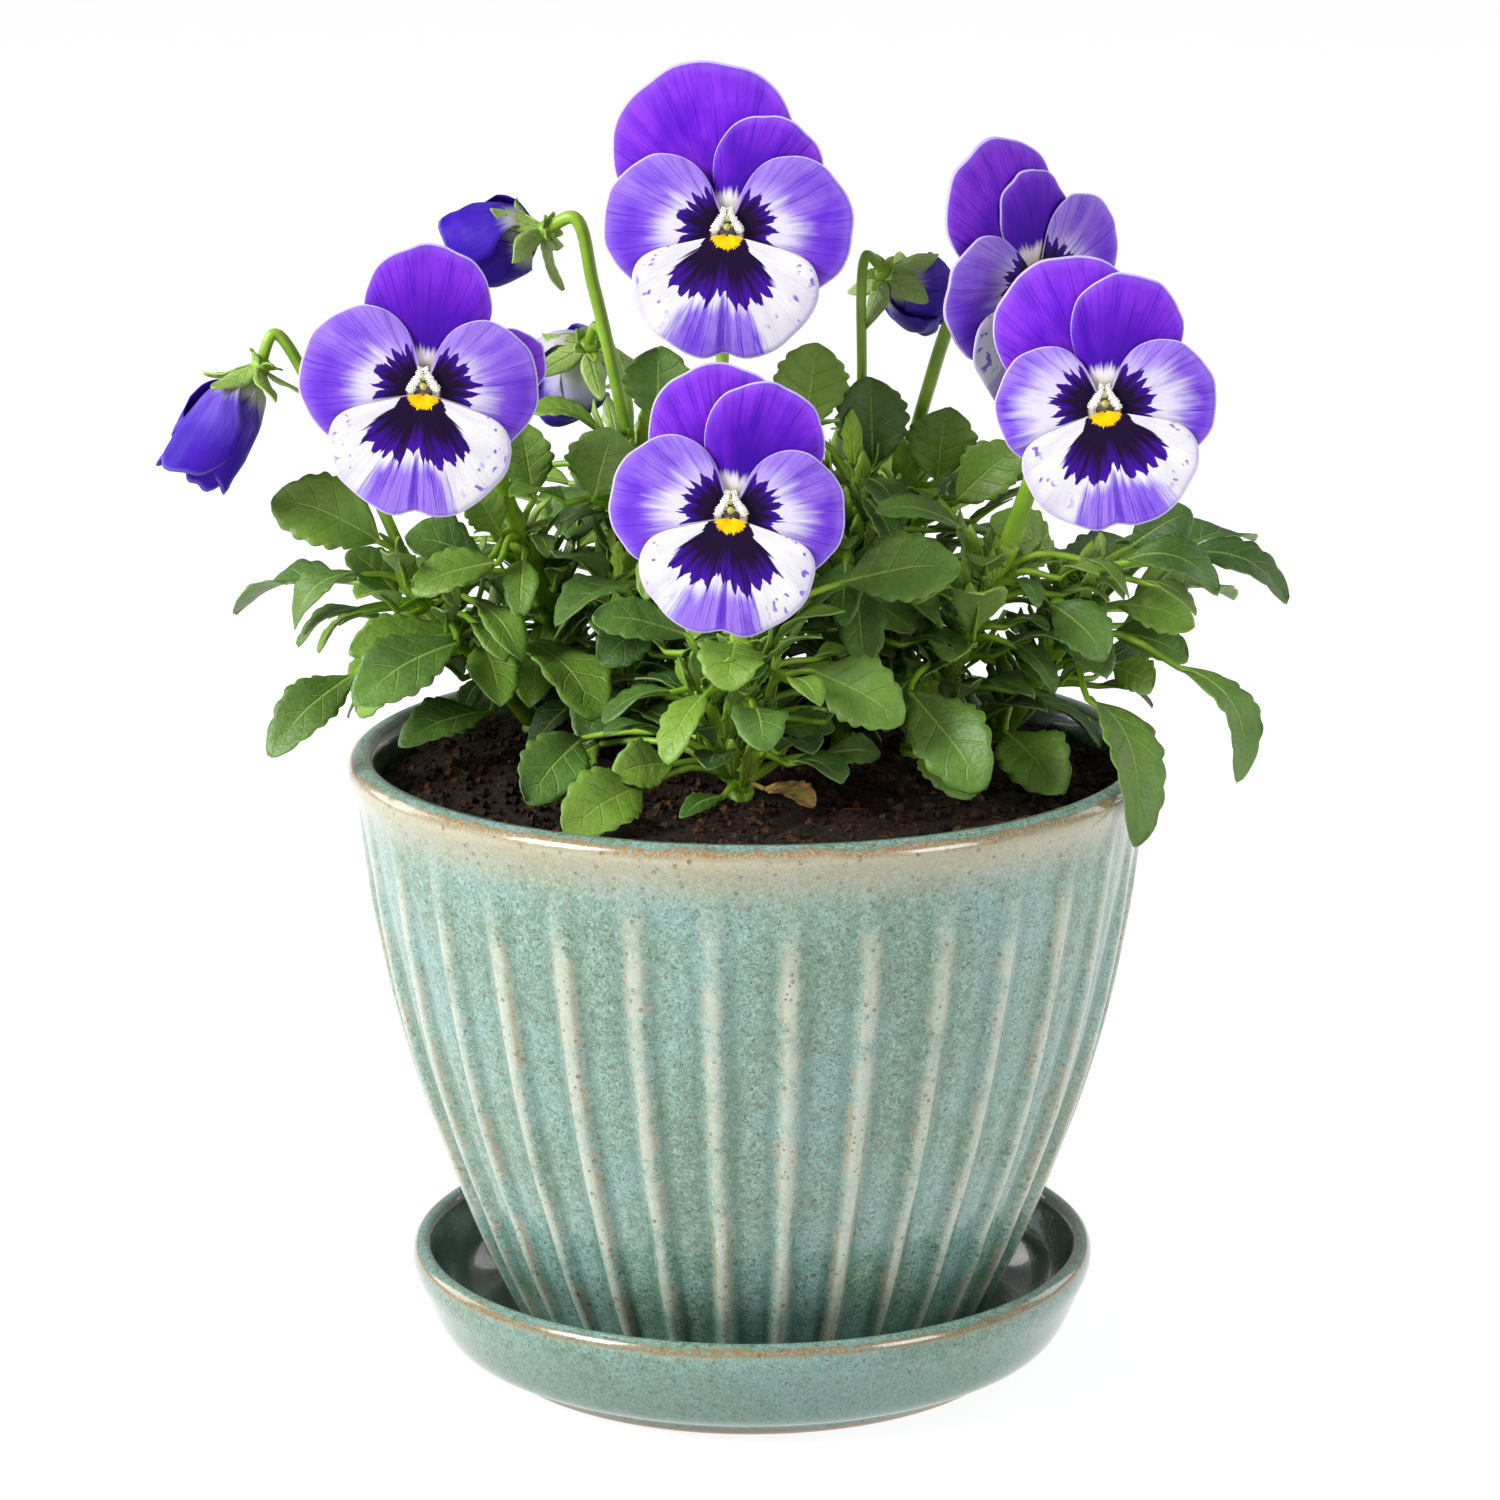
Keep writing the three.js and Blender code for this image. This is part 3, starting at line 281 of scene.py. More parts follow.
def smoothstep(low, high, x):
    t = np.clip((x - low) / (high - low), 0, 1)
    return t * t * (3 - 2 * t)


def seeded_random(seed):
    """The CAD source's random numbers, from 0 to 1."""
    mask = 0xFFFFFFFF
    state = seed

    def draw():
        nonlocal state
        state = (state + 0x6D2B79F5) & mask
        t = ((state ^ (state >> 15)) * (state | 1)) & mask
        t = ((t + ((t ^ (t >> 7)) * (t | 61))) & mask) ^ t
        return ((t ^ (t >> 14)) & mask) / 2**32

    return draw


def curve_point(points, t):
    """A point of the centripetal Catmull-Rom curve through the points, as in the CAD."""
    last = len(points) - 1
    place = min(max(t, 0), 1) * last
    i = min(int(place), last - 1)
    w = place - i
    p1, p2 = points[i], points[i + 1]
    p0 = points[i - 1] if i > 0 else 2 * p1 - p2
    p3 = points[i + 2] if i + 2 <= last else 2 * p2 - p1
    d0, d1, d2 = (np.linalg.norm(b - a) ** 0.5 for a, b in ((p0, p1), (p1, p2), (p2, p3)))
    m1 = ((p1 - p0) / d0 - (p2 - p0) / (d0 + d1) + (p2 - p1) / d1) * d1
    m2 = ((p2 - p1) / d1 - (p3 - p1) / (d1 + d2) + (p3 - p2) / d2) * d1
    c2 = -3 * p1 + 3 * p2 - 2 * m1 - m2
    c3 = 2 * p1 - 2 * p2 + m1 + m2
    return p1 + m1 * w + c2 * w**2 + c3 * w**3


def curve_points(points, steps=24):
    points = [vec(p) for p in points]
    return [curve_point(points, k / steps) for k in range(steps + 1)]


# ---- Meshes ------------------------------------------------------------------------------


class Skin:
    """The points and faces of one piece, with the numbers that its material reads.

    Each point has two triples, stored as the attributes "place" and "shade".
    """

    def __init__(self):
        self.points = []
        self.values = []
        self.faces = []
        self.count = 0

    def add_points(self, points, place, shade):
        points = np.asarray(points, dtype=float)
        shape = points.shape[:-1]
        place = np.broadcast_to(place, shape + (3,))
        shade = np.broadcast_to(shade, shape + (3,))
        start = self.count
        self.count += points[..., 0].size
        self.points.append(points.reshape(-1, 3))
        self.values.append(np.concatenate([place, shade], axis=-1).reshape(-1, 6))
        return np.arange(start, self.count).reshape(shape)

    def add_quads(self, ids, wrap=False):
        """Faces between the rows of a grid of point numbers."""
        right = np.roll(ids, -1, axis=1) if wrap else ids[:, 1:]
        left = ids if wrap else ids[:, :-1]
        quads = np.stack([left[:-1], left[1:], right[1:], right[:-1]], axis=-1)
        self.faces.extend(quads.reshape(-1, 4).tolist())

    def blade(self, front, back, place, shade):
        """A thin solid between two grids. The last number of "place" is 1 on its back."""
        place = np.broadcast_to(place, front.shape).copy()
        place[..., 2] = 0
        ids = self.add_points(front, place, shade)
        place[..., 2] = 1
        under = self.add_points(back, place, shade)
        self.add_quads(ids)
        self.add_quads(under[:, ::-1])
        for side in (np.s_[:, 0], np.s_[:, -1], np.s_[0, :], np.s_[-1, :]):
            self.add_quads(np.stack([ids[side], under[side]], axis=1))

    def tube(self, path, radii, place, shade, sides=10, ridges=0.0):
        """A bar round a path of points, closed at its ends."""
        rings = tube_rings(path, radii, sides, ridges)
        ids = self.add_points(rings, place, shade)
        self.add_quads(ids, wrap=True)
        self.faces.append(ids[0].tolist())
        self.faces.append(ids[-1, ::-1].tolist())

    def make(self, name, material, slot, replaced, smooth=True):
        mesh = bpy.data.meshes.new(name)
        points = np.concatenate(self.points) * METRES
        mesh.from_pydata(points.tolist(), [], self.faces)
        values = np.concatenate(self.values)
        for attribute, columns in (("place", np.s_[:, :3]), ("shade", np.s_[:, 3:])):
            layer = mesh.attributes.new(attribute, "FLOAT_VECTOR", "POINT")
            layer.data.foreach_set("vector", values[columns].ravel())
        face_outwards(mesh)
        mesh.polygons.foreach_set("use_smooth", [smooth] * len(mesh.polygons))
        mesh.materials.append(material)
        piece = bpy.data.objects.new(name, mesh)
        bpy.context.collection.objects.link(piece)
        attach(piece, "root")
        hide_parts(replaced)


def face_outwards(mesh):
    shape = bmesh.new()
    shape.from_mesh(mesh)
    bmesh.ops.recalc_face_normals(shape, faces=shape.faces)
    shape.to_mesh(mesh)
    shape.free()


def tube_rings(path, radii, sides, ridges):
    path = np.asarray(path)
    along = np.gradient(path, axis=0)
    along /= np.linalg.norm(along, axis=1, keepdims=True)
    hint = np.array([1.0, 0.0, 0.0]) if abs(along[0][0]) < 0.8 else np.array([0.0, 1.0, 0.0])
    angles = np.arange(sides) * (2 * math.pi / sides)
    profile = 1 + ridges * np.cos(5 * angles)
    rings = []
    for point, direction, radius in zip(path, along, np.broadcast_to(radii, len(path))):
        hint = unit(hint - direction * hint.dot(direction))
        other = np.cross(direction, hint)
        ring = np.outer(np.cos(angles) * profile, hint) + np.outer(np.sin(angles) * profile, other)
        rings.append(point + radius * ring)
    return np.array(rings)


# ---- Leaves ------------------------------------------------------------------------------

LEAF_ROWS = 34
LEAF_COLUMNS = 9
VEIN_PAIRS = 5.0
VEIN_SLANT = 1.25  # how far a side vein climbs on its way to the edge, in vein spacings
PUCKER = 0.03  # rise of the blade between its veins, as a share of its width
LEAF_WIDEST = 0.56  # where a blade is widest, as a share of its length
LEAF_NOD = 0.07  # how far a blade's tip hangs, as a share of its length
# The narrow leaves round a main stem: height between its nodes, turn from one node to the next,
# least length, how much longer they grow, how steeply they rise, and width as a share of length.
CUT_LEAVES = {"gap": 5.5, "turn": 137.5, "length": 9, "spread": 13, "rise": 2.6, "width": 0.22}
CUTS_PER_NODE = 4
CUT_GRID = {"rows": 10, "columns": 3}


def blade_frame(leaf):
    """A blade's direction, normal and direction across, and its curved midrib."""
    base, tip = leaf["base"], leaf["tip"]
    tilt, turn = leaf["facing"]
    direction = unit(tip - base)
    hint = bearing(turn) * math.sin(math.radians(tilt)) + UP * math.cos(math.radians(tilt))
    hint = leaf.get("normal", hint)
    normal = unit(hint - direction * hint.dot(direction))
    across = np.cross(direction, normal)

    def midrib(t):
        t = np.asarray(t, dtype=float)[..., None]
        return mix(base, tip, t) + normal * leaf["arch"] * 4 * t * (1 - t)

    return normal, across, midrib


def half_width(t, width):
    return width / 2 * np.sin(math.pi * np.clip(t, 0, 1) ** 0.82) ** 0.68


def cut_leaves(skin, stem, draw):
    """The narrow lobed leaves that stand round a main stem, a few at each of its nodes."""
    rule = CUT_LEAVES
    turn = 360 * draw()
    height = LOWEST_NODE
    while height < stem[-1][2] - 6:
        node = next(p for p in stem if p[2] >= height)
        for k in range(CUTS_PER_NODE):
            side = turn + (360 / CUTS_PER_NODE) * (k + 0.5 * draw())
            out = bearing(side)
            base = node + out * 2.4
            size = rule["length"] + rule["spread"] * draw()
            tip = base + unit(out + UP * rule["rise"] * (0.4 + draw())) * size
            blade = {"base": base, "tip": tip, "width": rule["width"] * size + 1.2}
            blade.update({"facing": [50, side], "arch": 1.4, "teeth": 2, "cut": 0.4})
            leaf_blade(skin, blade, 0.6 + 0.5 * draw(), 6 * draw(), **CUT_GRID)
        turn += rule["turn"]
        height += rule["gap"]


def leaf_outline(t, width):
    """Half the width of a blade: a tapered foot, widest past the middle, and a round tip."""
    foot = np.sin(math.pi / 2 * np.clip(t / LEAF_WIDEST, 0, 1)) ** 1.15
    tip = np.cos(math.pi / 2 * np.clip((t - LEAF_WIDEST) / (1 - LEAF_WIDEST), 0, 1)) ** 0.56
    return width / 2 * foot * tip


def leaf_blade(skin, leaf, tone, phase, rows=LEAF_ROWS, columns=LEAF_COLUMNS):
    """A blade with rounded teeth, puckered between its veins and waved along its edge."""
    normal, across, midrib = blade_frame(leaf)
    width, cut = leaf["width"], leaf.get("cut", 0.15)
    t = np.linspace(0.004, 0.996, rows)[:, None]
    s = np.linspace(-1, 1, columns)[None, :]
    tooth = (t * (leaf["teeth"] + 3.1) + 0.13 * phase + 0.09 * np.sign(s)) % 1
    scallop = np.sin(math.pi * tooth**1.5) ** 0.6
    depth = cut * smoothstep(0.12, 0.35, t) * smoothstep(1.0, 0.86, t)
    outline = leaf_outline(t, width) if cut else half_width(t, width)
    x = s * np.maximum(outline * (1 - depth * (1 - scallop) * np.abs(s) ** 3), 0.3)
    fold = BLADE_CUP * (np.sqrt(x**2 + 1) - 1)
    pulse = np.abs(np.sin(math.pi * (t * VEIN_PAIRS - np.abs(s) * VEIN_SLANT)))
    pucker = PUCKER * width * pulse * smoothstep(0.05, 0.35, np.abs(s)) * np.sin(math.pi * t)
    wave = 0.06 * width * s**2 * np.sin(8 * t + phase + np.sign(s))
    nod = -LEAF_NOD * np.linalg.norm(leaf["tip"] - leaf["base"]) * smoothstep(0.55, 1.1, t)
    front = midrib(t) + across * x[..., None] + normal * (fold + pucker + wave)[..., None]
    front = front + UP * nod[..., None]
    place = np.stack([s + 0 * t, t + 0 * s, 0 * x], axis=-1)
    shade = np.stack([tone + 0 * x, np.abs(x), phase + 0 * x], axis=-1)
    skin.blade(front, front - normal * BLADE_THICKNESS, place, shade)


def leaf_stalk(skin, leaf, tone):
    """A leaf's stalk: up and over from its stem, then along under the blade as its midrib."""
    normal, _, midrib = blade_frame(leaf)
    node, base = leaf["node"], leaf["base"]
    top = mix(node, base, 0.5) + UP * PETIOLE_RISE * np.linalg.norm(node - base)
    under = midrib([0.1, 0.3, 0.5]) - normal * (BLADE_THICKNESS + 0.3)
    path = curve_points([node, top, base - normal * BLADE_THICKNESS, *under], 15)
    radii = np.interp(np.linspace(0, 1, 16), [0, 0.1, 0.4, 1], [1.25, 0.95, 0.8, 0.2])
    skin.tube(path, radii, [0, 0, 0], [tone, 0, 1], sides=7)


def stipules(skin, node, turn, draw):
    """The narrow cut leaves at the foot of a leaf stalk, two fingers each side of it."""
    for side in (-1, 1):
        for out_turn, rise, length in ((30, 1.5, 11), (58, 0.6, 7)):
            out = bearing(turn + side * (out_turn + 14 * draw()))
            size = length * (0.75 + 0.5 * draw())
            base = node + out * 1.2
            tip = base + unit(out + UP * (rise + 0.5 * draw())) * size
            blade = {"base": base, "tip": tip, "width": 0.26 * size, "facing": [20, turn]}
            blade.update({"arch": 0.9, "teeth": 2, "cut": 0})
            leaf_blade(skin, blade, 0.7 + 0.2 * draw(), 6 * draw(), rows=7, columns=3)


# ---- Clear space and leaves set by rule, as in the CAD -----------------------------------

# How far a point on a leaf set by rule stays from each kind of thing.
CLEARANCE = {"leaf": 6.5, "stem": 5, "petal": 8, "bud": 18, "rim": 3, "soil": 5}
FILL = {
    "turn": 137.5, "length": 25, "lengthSpread": 9, "droop": 0.35, "slimness": 0.62, "tilt": 35,
    "arch": 3, "teeth": 3, "tries": 14, "retryTurn": 13, "reach": 13, "reachStep": 7, "rise": 7,
}
YOUNG = {
    "turn": 137.5, "length": 11, "lengthSpread": 14, "droop": 0.8, "slimness": 0.56, "tilt": 45,
    "arch": 2, "teeth": 2, "tries": 12, "retryTurn": 23, "reach": 4, "reachStep": 8, "rise": 5,
}
YOUNG_PER_SHOOT = 38
YOUNG_CLEARANCE = 0.34  # share of the full clearances that they keep
YOUNG_LIMITS = np.array([[-140, -94, 0], [128, 108, 290]])  # the box that they stay inside
YOUNG_ROWS = [16, 7]  # rows and columns of points in a small leaf


class Space:
    """The points that are taken, each with the distance that other leaves keep from it."""

    def __init__(self):
        self.points = np.zeros((0, 3))
        self.reach = np.zeros(0)

    def take(self, points, clearance):
        self.points = np.concatenate([self.points, points])
        self.reach = np.concatenate([self.reach, [clearance] * len(points)])

    def is_clear(self, points, share=1.0):
        if not all(clear_of_pot(p) for p in points):
            return False
        gaps = np.linalg.norm(self.points[None] - np.array(points)[:, None], axis=2)
        return bool(np.all(gaps > self.reach[None] * share))


def clear_of_pot(p):
    radius = math.hypot(p[0], p[1])
    if radius > RIM_OUTSIDE:
        return True
    if radius > RIM_INSIDE:
        return p[2] > RIM_HEIGHT + CLEARANCE["rim"]
    return p[2] > SOIL_LEVEL + CLEARANCE["soil"]


def blade_samples(leaf):
    _, across, midrib = blade_frame(leaf)
    samples = []
    for t in (0.02, 0.14, 0.26, 0.38, 0.5, 0.62, 0.74, 0.86, 0.97):
        half = half_width(t, leaf["width"])
        samples += [midrib(t) + across * s * half for s in (-1, -0.5, 0, 0.5, 1)]
    return samples


def leaf_of(row):
    base, tip, width, tilt, arch, teeth, *turn = row
    facing = [tilt, turn[0] if turn else -90]
    return {
        "base": vec(base), "tip": vec(tip), "width": width, "facing": facing, "arch": arch,
        "teeth": teeth,
    }


def node_for(base, axes):
    """Where a leaf's stalk leaves the stems: near the blade's base, but lower."""
    target = base - UP * PETIOLE_DROP
    nodes = [p for _, points in axes for p in curve_points(points) if p[2] >= LOWEST_NODE]
    return min(nodes, key=lambda p: np.linalg.norm(p - target))


def fill_leaf(stem, count, span, k, rule, draw, fits):
    """One leaf a golden angle on from the last, turned and moved out until it fits."""
    low, high = span
    height = low + (high - low) * (k + 0.5) / count
    node = next(p for p in stem if p[2] >= height)
    first = k * rule["turn"] + 360 * draw()
    length = rule["length"] + rule["lengthSpread"] * draw()
    droop = rule["droop"] * (2 * draw() - 1)
    for attempt in range(rule["tries"]):
        turn = first + (1 if attempt % 2 else -1) * attempt * rule["retryTurn"]
        out = bearing(turn)
        base = node + out * (rule["reach"] + rule["reachStep"] * (attempt % 3)) + UP * rule["rise"]
        leaf = {
            "node": node, "base": base, "tip": base + out * length + UP * length * droop,
            "width": rule["slimness"] * length, "facing": [rule["tilt"], turn],
            "arch": rule["arch"], "teeth": rule["teeth"],
        }
        if fits(blade_samples(leaf)):
            return leaf
    return None


def shoot_leaves(spec, space, draw):
    placed = [leaf_of(row) for row in spec["leaves"]]
    for leaf in placed:
        leaf["node"] = node_for(leaf["base"], spec["axes"])
    stem = curve_points(spec["axes"][0][1])
    count, *span = spec["fill"]
    for k in range(count):
        leaf = fill_leaf(stem, count, span, k, FILL, draw, space.is_clear)
        if leaf:
            space.take(blade_samples(leaf), CLEARANCE["leaf"])
            placed.append(leaf)
    return placed


def young_leaves(spec, space, draw):
    """The small leaves between the large ones, which keep less clear of them."""
    stem = curve_points(spec["axes"][0][1])
    _, *span = spec["fill"]
    span = [157, span[1]]
    low, high = YOUNG_LIMITS
    placed = []

    def fits(points):
        inside = all(np.all(p > low) and np.all(p < high) for p in points)
        return inside and space.is_clear(points, YOUNG_CLEARANCE)

    for k in range(YOUNG_PER_SHOOT):
        leaf = fill_leaf(stem, YOUNG_PER_SHOOT, span, k, YOUNG, draw, fits)
        if leaf:
            space.take(blade_samples(leaf), CLEARANCE["leaf"])
            placed.append(leaf)
    return placed


# ---- Flowers -----------------------------------------------------------------------------

# Petal kinds: outline exponent, layer in front of the flower's plane, lean of the tip, where the
# face begins as a share of the length, and how far foot and tip shift from the planned layers.
PETALS = {
    "upperBack": {"power": 0.42, "layer": -1.7, "lean": -5, "start": 0.12, "shift": [-0.5, 0]},
    "upperFront": {"power": 0.42, "layer": -0.4, "lean": -4, "start": 0.12, "shift": [-0.2, 1.8]},
    "lateral": {"power": 0.45, "layer": 0.9, "lean": -1.5, "start": 0.05, "shift": [0.3, 0.3]},
    "lower": {"power": 0.3, "layer": 2.2, "lean": 1, "start": 0.01, "shift": [0.4, -0.4]},
}
# The finer outline of each face: exponent and share of the planned spread.
FACES = {
    "upperBack": [0.42, 1], "upperFront": [0.35, 0.86], "lateral": [0.33, 0.9], "lower": [0.15, 0.8],
}
PETAL_ROWS = 18
PETAL_COLUMNS = 73
PETAL_RIPPLE = 0.7
PETAL_CALM = 0.35  # share of the ripple that the faces keep
PETAL_CUP = 0.7
MARGIN_CURL = 0.4  # how far a petal's margin turns back
# How far the white round the blotches of a flower's side petals reaches out.
BLOOM_PALE = {
    "bloom_top": 0.1, "bloom_left": 0.05, "bloom_centre": 0.15, "bloom_right": 0.5,
    "bloom_behind": 0,
}


def flower_frame(centre, facing):
    """A flower's frame: where it looks, and its own right and up."""
    turn, pitch = facing
    front = bearing(turn) * math.cos(math.radians(pitch)) + UP * math.sin(math.radians(pitch))
    right = -unit(np.cross(front, UP))
    return {"centre": vec(centre), "front": front, "right": right, "up": np.cross(front, right)}


def flower_point(flower, reach, turn, depth):
    """A point by its distance from the flower's axis, turn from upright and depth in front."""
    reach, turn, depth = (np.asarray(v, dtype=float)[..., None] for v in (reach, turn, depth))
    across = flower["right"] * np.sin(turn) + flower["up"] * np.cos(turn)
    return flower["centre"] + reach * across + depth * flower["front"]


def petal_depth(kind, angle, share, way, ripple):
    """How far a petal stands in front of its flower's plane: way is 0 at the throat, 1 at the tip."""
    form = PETALS[kind]
    return form["layer"] + form["lean"] * way**2 + ripple * np.sin(share * 7 + angle) * way**2


def planned_points(petal, share, ring):
    """Points of a petal as planned: share runs from edge to edge, ring out from the throat."""
    kind, angle, length, spread = petal
    notch = 1 - 0.06 * np.exp(-((share * 12) ** 2)) if spread > 85 else 1.0
    reach = ring * length * np.cos(share * math.pi / 2) ** PETALS[kind]["power"] * notch
    depth = petal_depth(kind, angle, share, reach / length, PETAL_RIPPLE)
    return reach, np.radians(angle + share * spread), depth


def petal_blade(skin, flower, petal, tone):
    kind, angle, length, spread = petal
    power, width = FACES[kind]
    mirror = 1 if angle < 0 or angle > 180 else -1
    share = np.sin(np.linspace(-1, 1, PETAL_COLUMNS) * math.pi / 2)[None, :] * 0.994
    ring = (np.linspace(PETALS[kind]["start"], 1, PETAL_ROWS) ** 0.85)[:, None]
    reach = ring * length * np.cos(share * math.pi / 2) ** power
    notch = 0.06 * np.exp(-((share * 12) ** 2)) if kind == "lower" else 0
    wavy = 0.002 * np.sin(share * 31 + angle) + 0.008 * np.sin(share * 15 + 2 * angle)
    reach = reach * (1 - notch + wavy * smoothstep(0.5, 1, ring))
    way = reach / length
    foot, tip = PETALS[kind]["shift"]
    depth = petal_depth(kind, angle, share, way, PETAL_CALM) + foot + tip * way**2
    frill = 0.25 * np.sin(share * 19 + angle) * ring**4 - MARGIN_CURL * smoothstep(0.85, 1, ring)
    depth = depth + frill + PETAL_CUP * np.sin(math.pi * ring) * (1 - share**2)
    across = np.radians(share * spread * width)
    front = flower_point(flower, reach, np.radians(angle) + across, depth)
    back = flower_point(flower, reach, np.radians(angle) + across, depth - PETAL_THICKNESS)
    place = np.stack([mirror * across + 0 * ring, reach, 0 * reach], axis=-1)
    shade = np.stack([ring + 0 * share, share + 0 * ring, tone + 0 * reach], axis=-1)
    skin.blade(front, back, place, shade)


BEARD_PATH = [[0.6, 6.2, 0.3], [0.9, 4.8, 0.55], [1.7, 3.2, 0.8], [2.7, 1.6, 0.9], [3.5, 0.3, 0.55]]
BEARD_DEPTH = 2.7  # of the pads' middle, in front of the flower's plane
BEARD_HAIRS = 60


def beard(skin, flower, draw):
    """Two white pads with short club hairs, left and right of the throat."""
    centre, right, up, front = (flower[key] for key in ("centre", "right", "up", "front"))
    for side in (-1, 1):
        path = [centre + right * x * side + up * y + front * BEARD_DEPTH for x, y, _ in BEARD_PATH]
        path = curve_points(path, 12)
        radii = np.interp(np.linspace(0, 1, 13), np.linspace(0, 1, 5), [r for *_, r in BEARD_PATH])
        skin.tube(path, radii, [0, 0, 0], [0.2, 0, 0], sides=12, ridges=0.05)
        for _ in range(BEARD_HAIRS):
            along = draw()
            place = int(along * 12)
            around = math.pi * (1.2 * draw() - 0.6)
            out = unit(front * math.cos(around) + (right * side + up * 0.4) * math.sin(around))
            foot = path[place] + out * radii[place] * 0.75
            lean = unit(out + front * 0.5 - up * 0.5)
            hair = [foot + lean * h for h in (0, 0.3, 0.5, 0.62)]
            skin.tube(hair, [0.16, 0.16, 0.21, 0.1], [0, 0, 0], [along, 0, 0], sides=5)


def pistil(skin, flower):
    """The green stigma over the eye, with the ring of anthers under it."""
    root = flower["centre"] + flower["up"] * 2.3 + flower["front"] * 1.0
    path = [root + flower["front"] * h - flower["up"] * 0.3 * h for h in (0, 1.5, 2.1, 2.8, 3.2)]
    skin.tube(path, [0.5, 0.65, 0.85, 0.8, 0.3], [0, 0, 0], [0.5, 1, 0], sides=12)
    ring = [root + flower["up"] * (1.8 - 0.2 * h) + flower["front"] * h for h in (0.2, 1.5, 2.2)]
    skin.tube(ring, [1.4, 1.1, 0.4], [0, 0, 0], [0.5, 2, 0], sides=12)


def throat_tube(skin, flower):
    """The petals' joined bases behind the face, and the spur under them."""
    front, up, centre = flower["front"], flower["up"], flower["centre"]
    path = [centre + front * h for h in (0.6, 0, -1.5, -3, -CALYX_SETBACK + 2)]
    skin.tube(path, [3.4, 3.3, 2.9, 2.5, 1.6], [0, 0, 0], [0.5, 3, 0], sides=16)
    spur = [centre - front * h - up * d for h, d in ((1, 1.6), (4, 2.9), (8, 3.6), (10.5, 3.3))]
    skin.tube(spur, [1.5, 1.4, 1.35, 0.7], [0, 0, 0], [0.5, 3, 0], sides=12)


def make_bloom(name, spec, draw):
    flower = flower_frame(spec["throat"], spec["facing"])
    groups = {"upper": Skin(), "lateral": Skin(), "lower": Skin()}
    for petal in spec["petals"]:
        group = "upper" if petal[0].startswith("upper") else petal[0]
        tone = 0.5 * draw() + (0.5 if petal[0] == "upperFront" else 0)
        if group == "lateral":
            tone = BLOOM_PALE[name] + 0.2 * tone
        petal_blade(groups[group], flower, petal, tone)
    for group, skin in groups.items():
        skin.make(f"{name}_{group}", MATERIALS[group], "petal_violet", name)
    heart = Skin()
    beard(heart, flower, draw)
    pistil(heart, flower)
    throat_tube(heart, flower)
    heart.make(f"{name}_heart", MATERIALS["heart"], "petal_violet", name)


# ---- Buds and calyxes --------------------------------------------------------------------

# An opening bud's petals: turn, half spread, share of the bud's length, inset.
BUD_PETALS = [
    [20, 74, 1.0, 0], [140, 70, 0.93, 0.04], [258, 72, 0.86, 0.08],
    [80, 62, 1.0, 0.24], [200, 60, 0.94, 0.28], [320, 58, 1.04, 0.3], [30, 60, 0.95, 0.5],
]
BUD_THROAT = 1.6
BUD_LAP = 1.3
BUD_ROWS = 20
BUD_COLUMNS = 17
# How each bud has opened: share of its planned length and width, how closed its tip is, and how
# pale it is (below 0: deeper violet).
BUD_LOOKS = {
    "bud_far_left": [1, 1, 0, 0], "bud_upper_left": [0.92, 1.15, 0.1, -0.8],
    "bud_mid_left": [0.95, 1.1, 0.05, 0.8], "bud_right": [0.95, 1.05, 0.2, -0.3],
}
# How far each of a calyx's five sepals stands forward of its foot, as a share of its length.
SEPAL_LIFTS = [0.75, 0.15, -0.2, 0.05, 0.6]


def bud_petal(skin, flower, petal, length, width, closed, tone):
    """One furled petal: one of its edges lies over its neighbour and the other under."""
    turn, spread, share_long, inset = petal
    share = np.linspace(-1, 1, BUD_COLUMNS)[None, :]
    u = np.linspace(0.02, 1, BUD_ROWS)[:, None]
    swell = np.interp(u, [0, 0.12, 0.35, 0.7, 0.92, 1], [0, 0.46, 0.82, 1, 0.95, 0.86])
    swell = swell * (1 - closed * smoothstep(0.5, 1.05, u))
    radius = BUD_THROAT + (width / 2 - BUD_THROAT - BUD_LAP) * swell * (1 - inset)
    ruffle = 0.7 * np.sin(4 * share + turn) * u**3
    radius = radius + BUD_LAP * share * np.clip(2 * u, 0, 1) + ruffle
    radius = radius + 0.9 * smoothstep(0.86, 1, u) * (1 - share**2)
    edge = (1 - 0.3 * np.abs(share) ** 2.5) * (1 + 0.02 * np.sin(9 * share + turn))
    angle = np.radians(turn + share * spread * np.clip(0.35 + 1.4 * u, 0, 1) + 22 * u)
    depth = CALYX_RADIUS + GAP + share_long * length * u * edge
    outer = flower_point(flower, radius, angle, depth)
    inner = flower_point(flower, np.maximum(radius - PETAL_THICKNESS, 0.3), angle, depth)
    place = np.stack([share + 0 * u, u * length + 0 * share, 0 * radius], axis=-1)
    shade = np.stack([u + 0 * share, share + 0 * u, tone + 0 * radius], axis=-1)
    skin.blade(outer, inner, place, shade)


def make_bud(name, bud, draw):
    flower = flower_frame(bud["calyx"], bud["facing"])
    long, wide, closed, pale = BUD_LOOKS[name]
    length, width = bud["length"] * long, bud["width"] * wide
    skin = Skin()
    for petal in BUD_PETALS:
        bud_petal(skin, flower, petal, length, width, closed, pale + 0.2 * draw())
    skin.make(f"{name}_petals", MATERIALS["bud"], "bud_violet", name)


